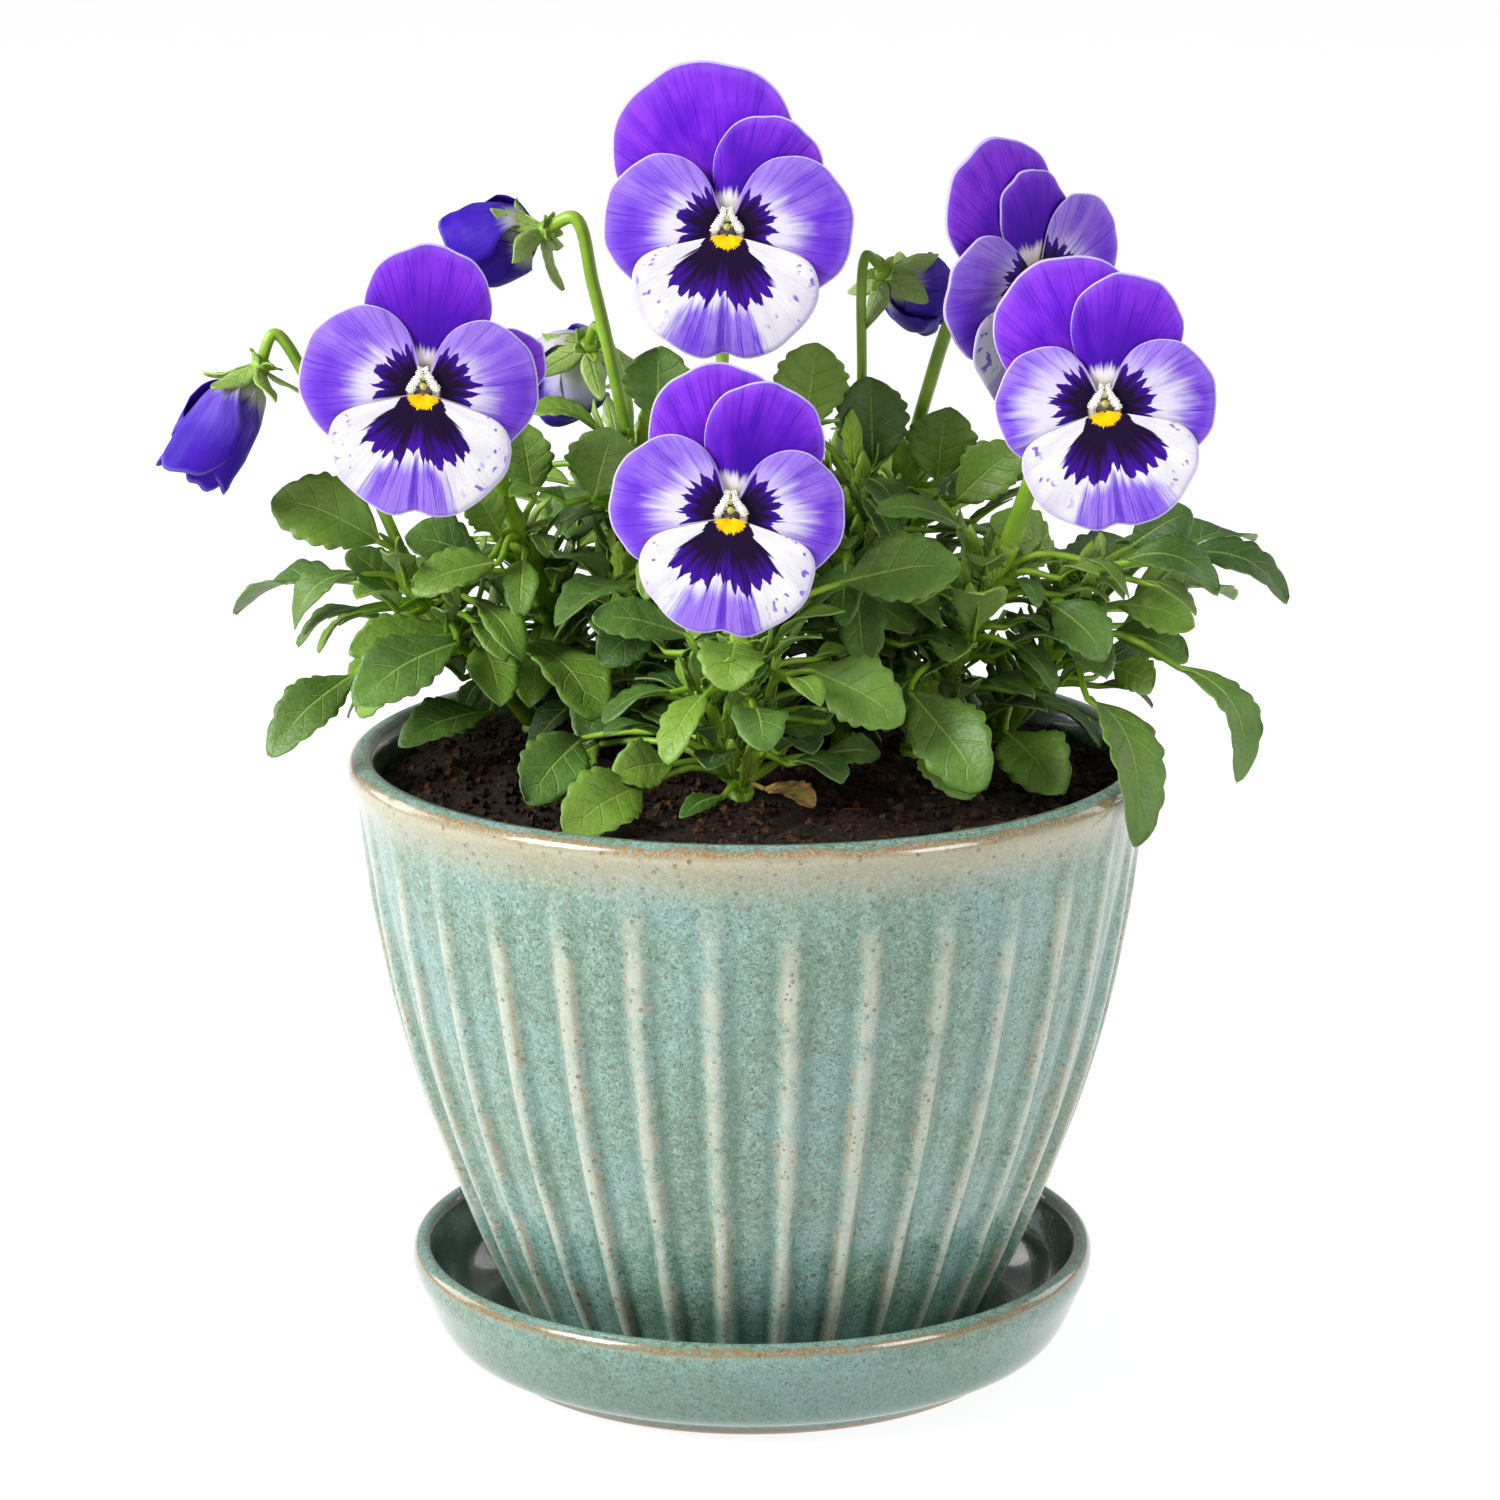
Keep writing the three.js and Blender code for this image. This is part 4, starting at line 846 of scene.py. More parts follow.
def sepal(skin, flower, turn, size, lift, draw):
    """A pointed sepal, and the small lobe that stands back from its foot."""
    angle = math.radians(turn)
    out = flower["right"] * math.sin(angle) + flower["up"] * math.cos(angle)
    base = flower["centre"] + out * CALYX_RADIUS * 0.5
    tip = flower["centre"] + unit(out + flower["front"] * lift) * size
    blade = {"base": base, "tip": tip, "width": 0.42 * size, "normal": flower["front"]}
    blade.update({"facing": [0, 0], "arch": 0.4 + draw(), "teeth": 2, "cut": 0})
    leaf_blade(skin, blade, 1.15 + 0.3 * draw(), 6 * draw(), rows=16, columns=7)
    lobe = {"base": base, "tip": base + out * 3.6 - flower["front"] * 3, "width": 3}
    lobe.update({"normal": -flower["front"], "facing": [0, 0], "arch": 0.4, "teeth": 2, "cut": 0})
    leaf_blade(skin, lobe, 1.1, 6 * draw(), rows=8, columns=5)


def calyx(leaves, stems, flower, size, lift, draw):
    for turn, share in zip((36, 108, 180, 252, 324), SEPAL_LIFTS):
        sepal(leaves, flower, turn, size, lift * share + 0.1, draw)
    front, centre = flower["front"], flower["centre"]
    path = [centre + front * h for h in (-2.6, -2.1, -0.8, 0.7, 1.2)]
    stems.tube(path, [1.3, 2.1, CALYX_RADIUS, 2.2, 1.3], [0, 0, 0], [0.45, 0, 0], sides=14)


# ---- Shoots ------------------------------------------------------------------------------

# Painted shade: below these heights the small inner leaves are painted darker, standing in for the
# shadow inside the plant.
SHADED_BELOW = [185, 160]  # heights between which the small inner leaves turn darker


def flower_of(name):
    """A flower's frame at its calyx, its sepals' length and how far forward they may stand."""
    if name in BUDS:
        return flower_frame(BUDS[name]["calyx"], BUDS[name]["facing"]), 14.5, 1.0
    flower = flower_frame(BLOOMS[name]["throat"], BLOOMS[name]["facing"])
    flower["centre"] = flower["centre"] - flower["front"] * CALYX_SETBACK
    return flower, 12, 0.15


def stalk_path(points, flower):
    """A flower stalk rises behind the flower and bends forward into its calyx."""
    bend = flower["centre"] - flower["front"] * STALK_BEND["back"] + flower["up"] * STALK_BEND["rise"]
    return [vec(p) for p in points] + [bend, flower["centre"]]


def make_shoot(name, spec, large, young, draw):
    leaves, stems = Skin(), Skin()
    for radius, points in spec["axes"]:
        path = curve_points(points, 30)
        radii = np.linspace(radius, radius * 0.85, len(path))
        stems.tube(path, radii, [0, 0, 0], [0.3, 0, 0], sides=15, ridges=0.05)
        cut_leaves(leaves, path, draw)
    radius, (foot, *_) = spec["axes"][0]
    root = [vec([foot[0], foot[1], z]) for z in (ROOT_DEPTH, SOIL_LEVEL, foot[2] + 1)]
    stems.tube(root, [radius, radius * 1.1, radius], [0, 0, 0], [0.1, 0, 0], sides=15, ridges=0.05)
    for radius, flower_name, points in spec["stalks"]:
        flower, size, lift = flower_of(flower_name)
        path = curve_points(stalk_path(points, flower), 40)
        stems.tube(path, radius, [0, 0, 0], [0.55, 0, 0], sides=12, ridges=0.06)
        calyx(leaves, stems, flower, size, lift, draw)
    for leaf in large:
        leaf_blade(leaves, leaf, 0.1 + 0.4 * draw(), 6 * draw())
    for leaf in young:
        # Painted shade: small leaves low inside the plant get a lower tone, which the leaf material
        # paints dark.
        shaded = smoothstep(*SHADED_BELOW, leaf["base"][2])
        leaf_blade(leaves, leaf, 0.1 + 0.5 * draw() - 0.7 * shaded, 6 * draw(), *YOUNG_ROWS)
    for leaf in large + young:
        leaf_stalk(stems, leaf, 0.4)
        out = leaf["base"] - leaf["node"]
        stipules(leaves, leaf["node"], math.degrees(math.atan2(out[1], out[0])), draw)
    leaves.make(f"{name}_leaves", MATERIALS["leaf"], "leaf_green", name)
    stems.make(f"{name}_stems", MATERIALS["stem"], "leaf_green", name)


def reserve(space):
    """Stems, flowers and listed leaves take their space first, in the CAD's order."""
    for spec in SHOOTS.values():
        for _, points in spec["axes"]:
            space.take(curve_points(points), CLEARANCE["stem"])
        for leaf in map(leaf_of, spec["leaves"]):
            node = node_for(leaf["base"], spec["axes"])
            space.take([mix(node, leaf["base"], t) for t in (0.4, 0.7, 1)], CLEARANCE["stem"])
            space.take(blade_samples(leaf), CLEARANCE["leaf"])
        for _, name, points in spec["stalks"]:
            path = stalk_path(points, flower_of(name)[0])
            space.take(curve_points(path), CLEARANCE["stem"])
    for spec in BLOOMS.values():
        flower = flower_frame(spec["throat"], spec["facing"])
        for petal in spec["petals"]:
            share = np.array([-0.8, -0.4, 0, 0.4, 0.8])
            for ring in (0.3, 0.6, 1):
                points = flower_point(flower, *planned_points(petal, share, ring))
                space.take(list(points), CLEARANCE["petal"])
    for bud in BUDS.values():
        front = flower_frame(bud["calyx"], bud["facing"])["front"]
        points = [vec(bud["calyx"]) + front * u * bud["length"] for u in (0.2, 0.6, 1)]
        space.take(points, CLEARANCE["bud"])


# ---- Saucer, pot and soil ----------------------------------------------------------------

RIB_POINTS = 13
POT_TURNS = RIB_COUNT * RIB_POINTS  # points round the pot
POT_ROWS = 82
CREST_EDGE = [0.06, 0.21]  # where a crest's top ends and its wall's foot is, as shares of the pitch
SAUCER_ROWS = 76
SAUCER_TURNS = 190
SOIL_RADIUS = 91.6
SOIL_RINGS = 66
SOIL_TURNS = 210
CRUMBS = 2500
CRUMB_SIZES = [0.45, 1.25]  # smallest radius, and how much larger the largest is
FIBRES = 300
# The pot's section from the middle of its underside, out, up over the lip and down inside:
# radius, height, depth of the channels.
POT_SECTION = [
    [8, 6.8, 0], [30, 6.8, 0], [47, 6.8, 0], [48, 6.2, 0], [48.5, 5.3, 0], [54, 5.3, 0.2],
    [55.6, 5.6, 0.7], [57.4, 7.8, 1.3], [60.2, 13, 1.7], [65.6, 24, 2.0], [70.2, 34, 2.1],
    [74.4, 45, 2.15], [78.2, 55.5, 2.15], [82, 66, 2.1], [85.4, 77, 2.05], [88.4, 88, 1.95],
    [91, 99.5, 1.8], [93, 110, 1.6], [94.6, 119, 1.35], [95.8, 128, 1.05], [96.7, 136, 0.7],
    [97.4, 143, 0.3], [98, 147, 0.08], [98.9, 149.5, 0], [99.8, 151.3, 0], [100, 152.7, 0],
    [99.5, 154.2, 0], [98.3, 155.6, 0], [96.6, 156.2, 0], [95, 156, 0], [93.9, 155, 0],
    [93.2, 153, 0], [91.8, 147, 0], [88, 122, 0], [80.8, 86, 0], [70.3, 50, 0], [59, 22, 0],
    [51.5, 14, 0], [30, 13.8, 0], [8, 13.8, 0],
]


def smooth_section(section, steps):
    """A finer section through the same points, with more rows where it curves over a short way."""
    section = np.array(section, dtype=float)
    fine = np.array([curve_point(list(section), k / 400) for k in range(401)])
    run = np.linalg.norm(np.diff(fine[:, :2], axis=0), axis=1) ** 0.6
    run = np.concatenate([[0], np.cumsum(run)])
    wanted = np.linspace(0, run[-1], steps)
    return np.stack([np.interp(wanted, run, fine[:, c]) for c in range(fine.shape[1])], axis=1)


def turned(skin, radius, height, angles, place, shade):
    """A closed ring-shaped skin: rows of points round the axis, the last joined to the first."""
    grid = np.stack([radius * np.cos(angles), radius * np.sin(angles), height], axis=-1)
    ids = skin.add_points(grid, place, shade)
    skin.add_quads(np.concatenate([ids, ids[:1]]), wrap=True)


def make_pot():
    section = smooth_section(POT_SECTION, POT_ROWS)
    turns = np.arange(POT_TURNS)[None, :]
    angles = turns * (2 * math.pi / POT_TURNS) - math.pi / 2
    phase = (turns / RIB_POINTS + 0.5) % 1  # 0.5 in the middle of a channel
    from_crest = np.minimum(phase, 1 - phase)
    crest = smoothstep(CREST_EDGE[1], CREST_EDGE[0], from_crest)
    radius, height, depth = (section[:, c][:, None] for c in range(3))
    wobble = 0.25 * np.sin(3 * angles + 0.03 * height) * smoothstep(10, 60, height)
    hollow = 1 - crest + 0.12 * np.sin(math.pi * np.clip(2 * from_crest, 0, 1)) * (1 - crest)
    radius = radius - depth * hollow + wobble
    height = height + 0 * radius
    outside = (np.arange(len(section)) < np.argmax(section[:, 1]) + 3)[:, None]
    relief = np.clip(depth / 1.9, 0, 1)
    place = np.stack([relief * crest, height, outside + 0 * radius], axis=-1)
    shade = np.stack([relief + 0 * radius, from_crest + 0 * radius, radius], axis=-1)
    skin = Skin()
    turned(skin, radius, height, angles, place, shade)
    skin.make("pot_glazed", MATERIALS["pot"], "pot_glaze", "pot")


def make_saucer():
    closed = [[1, 0], [40, 0]] + SAUCER_SECTION + [[40, 5], [1, 5]]
    section = smooth_section([p + [0] for p in closed], SAUCER_ROWS)
    angles = np.arange(SAUCER_TURNS)[None, :] * (2 * math.pi / SAUCER_TURNS)
    radius = section[:, 0][:, None] + 0.15 * np.sin(2 * angles)
    height = np.maximum(section[:, 1], 0)[:, None] + 0 * radius
    inner = (np.arange(len(section)) > np.argmax(section[:, 1]) + 2)[:, None]
    place = np.stack([0 * radius, height, 1.0 - inner + 0 * radius], axis=-1)
    skin = Skin()
    turned(skin, radius, height, angles, place, [0, 0, 0])
    skin.make("saucer_glazed", MATERIALS["saucer"], "saucer_glaze", "saucer")


def lumps(x, y):
    """Crumbs of compost: bumps of several sizes."""
    rise = 1.5 * noise.noise(Vector((x * 0.16, y * 0.16, 0)))
    rise += 1.3 * abs(noise.noise(Vector((x * 0.42, y * 0.42, 5))))
    rise += 1.1 * abs(noise.noise(Vector((x * 0.95, y * 0.95, 9))))
    return rise - 0.5


def soil_height(x, y):
    mound = SOIL_MOUND * (1 - (x * x + y * y) / RIM_INSIDE**2)
    bumps = math.sin(x * 0.31 + 1.3) * math.cos(y * 0.27) + math.sin(x * 0.13 - y * 0.19)
    return SOIL_LEVEL + mound + SOIL_BUMP * bumps


def make_soil(draw):
    skin = Skin()
    rows = []
    for i in range(SOIL_RINGS + 1):
        radius = max(SOIL_RADIUS * (i / SOIL_RINGS) ** 0.8, 0.4)
        ring = []
        for k in range(SOIL_TURNS):
            x, y, _ = bearing(360 * k / SOIL_TURNS) * radius
            ring.append([x, y, soil_height(x, y) + lumps(x, y)])
        rows.append(ring)
    rows.append([[p[0], p[1], SOIL_LEVEL - 6] for p in rows[-1]])
    ids = skin.add_points(np.array(rows), [0, 0, 0], [0, 0, 0])
    skin.add_quads(ids, wrap=True)
    skin.faces.append(ids[0].tolist())
    skin.faces.append(ids[-1].tolist())
    skin.make("soil_bed", MATERIALS["soil"], "compost", "soil")
    crumbs = Skin()
    for _ in range(CRUMBS):
        crumb(crumbs, draw)
    for _ in range(FIBRES):
        fibre(crumbs, draw)
    crumbs.make("soil_crumbs", MATERIALS["soil"], "compost", "soil", smooth=False)


def soil_spot(draw):
    """A random place on the soil's surface."""
    x, y, _ = bearing(360 * draw()) * (SOIL_RADIUS - 1.5) * math.sqrt(draw())
    return vec([x, y, soil_height(x, y) + lumps(x, y)])


def crumb(skin, draw):
    """A rough clod that is sunk a little into the soil."""
    size = CRUMB_SIZES[0] + CRUMB_SIZES[1] * draw() ** 2.2
    centre = soil_spot(draw) + UP * 0.3 * size
    long = bearing(360 * draw())
    rings = []
    for rise, width in ((-0.7, 0.6), (0.1, 1), (0.8, 0.45)):
        turns = [90 * k + 40 * rise for k in range(4)]
        wide = [size * width * (0.5 + 0.8 * draw()) for _ in turns]
        rings.append([centre + bearing(t) * w + UP * size * rise for t, w in zip(turns, wide)])
    points = np.array(rings)
    points = points + ((points - centre) @ long)[..., None] * long * 0.7 * draw()
    ids = skin.add_points(points, [0, 0, 0], [draw(), 1, 0])
    skin.add_quads(ids, wrap=True)
    skin.faces.append(ids[0].tolist())
    skin.faces.append(ids[-1, ::-1].tolist())


def fibre(skin, draw):
    """A thread of coir or bark that lies on the soil."""
    start = soil_spot(draw) + UP * 0.2
    out = bearing(360 * draw())
    side = np.cross(out, UP) * (draw() - 0.5)
    length = 2.5 + 4.5 * draw()
    path = [start + (out * t + side * 0.5 * t * t) * length + UP * 0.8 * t * (1 - t) for t in
            (0, 0.35, 0.7, 1)]
    limit = SOIL_RADIUS - 1
    if math.hypot(*path[-1][:2]) < limit:
        skin.tube(path, 0.16 + 0.14 * draw(), [0, 0, 0], [0.4 + 0.55 * draw(), 1, 0], sides=4)


WITHERED_LEAF = [[3, -37, 152.8], [15, -49, 152.4], 9, 20, 1.5, 3]


def make_withered_leaf():
    skin = Skin()
    leaf = leaf_of(WITHERED_LEAF)
    leaf["base"][2] += 1.6
    leaf["tip"][2] += 2.2
    leaf["cut"] = 0.2
    leaf_blade(skin, leaf, 0.5, 2.0)
    foot = [leaf["base"] + vec([-7, 6, 0.4]), leaf["base"] + vec([-3, 3, 0.6]), leaf["base"]]
    skin.tube(curve_points(foot, 8), 0.6, [0, 0, 0], [0.5, 0, 0], sides=7)
    skin.make("withered_leaf_blade", MATERIALS["withered"], "dry_leaf", "withered_leaf")


# ---- Materials ---------------------------------------------------------------------------

POT_BAND = 11  # how far the thin, pale glaze reaches down from the rim
SAUCER_BAND = 2.4


def colour(code):
    """A linear colour from its usual six hexadecimal digits."""
    parts = [int(code[i : i + 2], 16) / 255 for i in (1, 3, 5)]
    linear = [p / 12.92 if p < 0.04045 else ((p + 0.055) / 1.055) ** 2.4 for p in parts]
    return (*linear, 1.0)


class Wire:
    """A number in a material. Arithmetic with it adds the nodes that do the sum."""

    def __init__(self, shader, socket):
        self.shader = shader
        self.socket = socket

    def apply(self, operation, *others):
        return self.shader.maths(operation, self, *others)

    def __add__(self, other):
        return self.apply("ADD", other)

    def __sub__(self, other):
        return self.apply("SUBTRACT", other)

    def __rsub__(self, other):
        return self.shader.maths("SUBTRACT", other, self)

    def __mul__(self, other):
        return self.apply("MULTIPLY", other)

    def __abs__(self):
        return self.apply("ABSOLUTE")

    __radd__ = __add__
    __rmul__ = __mul__

    def rises(self, low, high):
        """0 below low, 1 above high and smooth between. It falls where high is less."""
        node = self.shader.add("ShaderNodeMapRange", interpolation_type="SMOOTHSTEP")
        self.shader.put(node.inputs["Value"], self)
        node.inputs["From Min"].default_value = low
        node.inputs["From Max"].default_value = high
        return Wire(self.shader, node.outputs["Result"])


class Shader:
    """A material round one Principled shader, with short words for the nodes that it uses."""

    def __init__(self, name, **constants):
        self.material = bpy.data.materials.new(name)
        self.material.use_nodes = True
        self.tree = self.material.node_tree
        self.surface = self.tree.nodes["Principled BSDF"]
        for socket, value in constants.items():
            self.surface.inputs[socket.replace("_", " ")].default_value = value

    def add(self, kind, **settings):
        node = self.tree.nodes.new(kind)
        for key, value in settings.items():
            setattr(node, key, value)
        return node

    def put(self, socket, value):
        if isinstance(value, Wire):
            self.tree.links.new(value.socket, socket)
        else:
            socket.default_value = value

    def maths(self, operation, *values):
        node = self.add("ShaderNodeMath", operation=operation)
        for socket, value in zip(node.inputs, values):
            self.put(socket, value)
        return Wire(self, node.outputs[0])

    def attribute(self, name):
        """The three numbers that each point of the mesh holds under this name."""
        source = self.add("ShaderNodeAttribute", attribute_name=name)
        split = self.add("ShaderNodeSeparateXYZ")
        self.tree.links.new(source.outputs["Vector"], split.inputs[0])
        return [Wire(self, output) for output in split.outputs]

    def vector(self, x, y, z):
        node = self.add("ShaderNodeCombineXYZ")
        for socket, value in zip(node.inputs, (x, y, z)):
            self.put(socket, value)
        return Wire(self, node.outputs[0])

    def position(self):
        """The place on the object, in millimetres."""
        source = self.add("ShaderNodeTexCoord")
        scaled = self.add("ShaderNodeVectorMath", operation="SCALE")
        self.tree.links.new(source.outputs["Object"], scaled.inputs[0])
        scaled.inputs["Scale"].default_value = 1 / METRES
        return Wire(self, scaled.outputs["Vector"])

    def noise(self, vector, scale, detail=3.0, roughness=0.55, distortion=0.0):
        node = self.add("ShaderNodeTexNoise")
        self.put(node.inputs["Vector"], vector)
        node.inputs["Scale"].default_value = scale
        node.inputs["Detail"].default_value = detail
        node.inputs["Roughness"].default_value = roughness
        node.inputs["Distortion"].default_value = distortion
        return Wire(self, node.outputs["Fac"])

    def cells(self, vector, scale):
        """Distance from the middle of the nearest of many random cells."""
        node = self.add("ShaderNodeTexVoronoi")
        self.put(node.inputs["Vector"], vector)
        node.inputs["Scale"].default_value = scale
        return Wire(self, node.outputs["Distance"])

    def blend(self, factor, first, second):
        """The first colour where factor is 0, the second where it is 1."""
        node = self.add("ShaderNodeMix", data_type="RGBA")
        self.put(node.inputs[0], factor)
        for socket, value in ((node.inputs[6], first), (node.inputs[7], second)):
            self.put(socket, colour(value) if isinstance(value, str) else value)
        return Wire(self, node.outputs[2])

    def bump(self, height, distance, strength=1.0):
        node = self.add("ShaderNodeBump")
        node.inputs["Strength"].default_value = strength
        node.inputs["Distance"].default_value = distance * METRES
        self.put(node.inputs["Height"], height)
        self.tree.links.new(node.outputs["Normal"], self.surface.inputs["Normal"])

    def finish(self, base, roughness=None):
        self.put(self.surface.inputs["Base Color"], base)
        if roughness is not None:
            self.put(self.surface.inputs["Roughness"], roughness)
        return self.material


def glaze(name, rim_height, rim_band):
    """A mottled celadon glaze that breaks to cream and tan where it runs thin."""
    shader = Shader(name, Specular_IOR_Level=0.5, Coat_Weight=0.5, Coat_Roughness=0.05)
    _, height, outside = shader.attribute("place")
    relief, side, _ = shader.attribute("shade")
    place = shader.position()
    cloud = shader.noise(place, 0.035, 3)
    mottle = shader.noise(place, 0.4, 4, 0.75, 0.8)
    grain = shader.noise(place, 1.1, 3, 0.7, 1.0)
    worn = shader.noise(place, 0.09, 4, 0.6)
    base = shader.blend((mottle * 0.7 + cloud * 0.3).rises(0.38, 0.62), "#5b7a67", "#83a092")
    base = shader.blend(cloud.rises(0.43, 0.6) * 0.5, base, "#729798")
    base = shader.blend(grain.rises(0.52, 0.62) * 0.45, base, "#a4bcb8")
    base = shader.blend(grain.rises(0.48, 0.38) * 0.45, base, "#4b6a55")
    dash = shader.noise(place, 0.5, 1, 0.5, 3.5).rises(0.6, 0.64)
    base = shader.blend(dash * 0.8, base, "#3b5238")
    half = (worn - 0.5) * 0.34 + (grain - 0.5) * 0.05 + 0.085
    high = (relief + (worn - 0.5) * 0.5).rises(0.15, 0.75)
    mask = (half - side).rises(-0.09, 0.08) * high * (grain * 0.6 + 0.62)
    base = shader.blend(mask * 0.75, base, "#babcab")
    # Darker glaze pooled at the foot of each crest's wall, partly painted shade in the recess beside
    # the crest.
    wall = side.rises(0.38, 0.26) * side.rises(0.13, 0.2) * relief
    base = shader.blend(wall * 0.4, base, "#46695d")
    rust = side.rises(0.19, 0.13) * side.rises(0.06, 0.12) * relief * worn.rises(0.45, 0.58)
    base = shader.blend(rust * grain.rises(0.4, 0.6) * 0.8, base, "#8f7448")
    below = rim_height - height + (worn - 0.5) * 3 + (grain - 0.5) * 1.5
    band = below.rises(rim_band * 1.7, rim_band * 0.3) * outside * below.rises(0.8, 1.6)
    base = shader.blend(band * (grain * 0.6 + 0.4), base, "#ad9f82")
    tan = below.rises(3.4, 2.0) * below.rises(0.6, 1.2) * outside
    base = shader.blend(tan * grain.rises(0.42, 0.54) * 0.85, base, "#86602f")
    pool = height.rises(42, 7) * (mottle * 0.9 + 0.4) * (1 - mask * height.rises(12, 24) * 0.6)
    base = shader.blend(pool * 0.6 * outside, base, "#355c50")
    # Painted shade: inside the pot and the saucer the glaze is painted darker down from the lip.
    inside = (1 - outside) * height.rises(rim_height - 0.5, rim_height - 4)
    base = shader.blend(inside * 0.7, base, "#3f5c4c")
    speck = shader.cells(place, 0.3).rises(0.24, 0.15) * grain.rises(0.46, 0.52)
    base = shader.blend(speck * 0.75, base, "#5a4c2a")
    iron = shader.cells(place, 0.5).rises(0.22, 0.14) * worn.rises(0.5, 0.58)
    base = shader.blend(iron * (mask * 0.6 + 0.25), base, "#6e4526")
    foot = height.rises(1.8, 0.9)
    base = shader.blend(foot, base, "#937858")
    shader.bump(grain * 0.5 + mottle * 0.9, 0.12, 0.3)
    return shader.finish(base, 0.12 + grain * 0.12 + foot * 0.5)


def soil_material():
    shader = Shader("compost", Specular_IOR_Level=0.3)
    tint, loose, _ = shader.attribute("shade")
    place = shader.position()
    fine = shader.noise(place, 0.9, 5, 0.8)
    clods = shader.noise(place, 0.3, 3)
    base = shader.blend(fine.rises(0.42, 0.62), "#100804", "#40270f")
    base = shader.blend(clods.rises(0.5, 0.35) * 0.6, base, "#0a0502")
    base = shader.blend(tint.rises(0.4, 0.95) * loose * 0.75, base, "#6a4526")
    base = shader.blend(tint.rises(0.45, 0.1) * loose * 0.7, base, "#150b05")
    shader.bump(fine, 1.6, 1.0)
    return shader.finish(base, 0.75 + fine * 0.2)


def veins_of(shader, across, t, inset):
    """A leaf's midrib and side veins: 1 on a vein, 0 between."""
    side = abs(across)
    midrib = (inset + t * 0.35).rises(0.62, 0.3) * t.rises(0.95, 0.6)
    phase = shader.maths("FRACT", t * VEIN_PAIRS - side * VEIN_SLANT + 8.0)
    distance = abs(phase - 0.5)
    branches = distance.rises(0.44, 0.49) * side.rises(1.0, 0.3) * t.rises(0.95, 0.75)
    return midrib, branches


def leaf_material():
    shader = Shader("leaf", Specular_IOR_Level=0.5, Subsurface_Weight=0.03, Subsurface_Scale=0.001)
    shader.surface.inputs["Subsurface Radius"].default_value = (0.3, 0.6, 0.1)
    across, t, under = shader.attribute("place")
    tone, inset, _ = shader.attribute("shade")
    place = shader.position()
    cloud = shader.noise(place, 0.06, 3)
    fine = shader.noise(place, 0.8, 4, 0.6)
    midrib, branches = veins_of(shader, across, t, inset)
    dark = shader.blend(cloud.rises(0.35, 0.65), "#34561a", "#486e26")
    base = shader.blend((tone * 0.9 + fine * 0.25).rises(0.15, 1.05), dark, "#8cb032")
    base = shader.blend(tone.rises(1.0, 1.4) * 0.8, base, "#a9bf62")
    # Painted shade: a tone below 0, given to the low inner leaves, turns the blade dark green.
    base = shader.blend(tone.rises(0.05, -0.6) * 0.85, base, "#182a09")
    base = shader.blend(fine.rises(0.5, 0.7) * 0.3, base, "#587f34")
    base = shader.blend(branches * 0.5, base, "#86a54c")
    base = shader.blend(midrib * 0.6, base, "#95b34c")
    base = shader.blend(abs(across).rises(0.93, 1.0) * 0.25, base, "#78964a")
    base = shader.blend(under * 0.45, base, "#7b9a58")
    cell = shader.cells(place, 0.9)
    shader.bump(cell * 0.4 - branches * 1.2 - midrib * 0.8 + fine * 0.3, 0.35, 0.8)
    return shader.finish(base, 0.4 + fine * 0.2)


def stem_material():
    shader = Shader("stem", Specular_IOR_Level=0.5, Subsurface_Weight=0.05, Subsurface_Scale=0.001)
    tone, _, _ = shader.attribute("shade")
    place = shader.position()
    cloud = shader.noise(place, 0.1, 3)
    fine = shader.noise(place, 0.9, 3)
    base = shader.blend(cloud.rises(0.3, 0.7), "#6a9616", "#8cb22c")
    base = shader.blend(tone.rises(0.35, 0.9) * 0.3, base, "#9cbb40")
    base = shader.blend(fine.rises(0.62, 0.75) * 0.3, base, "#7a5c2c")
    shader.bump(fine, 0.15, 0.4)
    return shader.finish(base, 0.34 + fine * 0.15)


def veins_along(shader, angle, streak, count, low, high):
    """Thin lines that fan out along a petal: 1 on a line, 0 between."""
    bent = angle * count + (streak - 0.5) * 0.6
    distance = abs(shader.maths("FRACT", bent + 40.0) - 0.5)
    return distance.rises(low, high)


def petal_shader(name):
    """The parts that every petal's material shares: veins and streaks that run along it."""
    shader = Shader(name, Specular_IOR_Level=0.1, Subsurface_Weight=0.02, Subsurface_Scale=0.0004)
    angle, reach, under = shader.attribute("place")
    ring, _, tone = shader.attribute("shade")
    spot = shader.vector(angle * 3.2, reach * 0.06, tone * 7)
    streak = shader.noise(spot, 1.0, 3, 0.6)
    spot = shader.vector(angle * 14, reach * 0.05, tone * 9)
    fine = shader.noise(spot, 1.0, 3, 0.6, 0.2)
    broad = veins_along(shader, angle, streak, 6.0, 0.455, 0.49)
    thin = veins_along(shader, angle, streak, 15.0, 0.4, 0.49) * reach.rises(9, 16)
    veins = shader.maths("MAXIMUM", broad, thin * 0.6) * fine.rises(0.32, 0.5)
    shader.bump(fine + streak * 0.6 - veins * 0.5, 0.1, 0.5)
    return shader, angle, reach, ring, tone, under, streak, fine, veins


def petal_edge(shader, base, ring, under):
    """Every petal ends in a thin white line, and is paler on its back."""
    base = shader.blend(ring.rises(0.9, 1.0) * 0.2, base, "#9c7fe0")
    base = shader.blend(ring.rises(0.981, 0.992) * 0.7, base, "#cfc6ea")
    return shader.blend(under * 0.3, base, "#8a70cc")


def spikes_along(shader, angle, streak, count):
    """Pointed teeth side by side: 1 at each point, 0 in each notch."""
    bent = angle * count + (streak - 0.5) * 2.2 + 40.0
    return 1 - abs(shader.maths("FRACT", bent) - 0.5) * 2


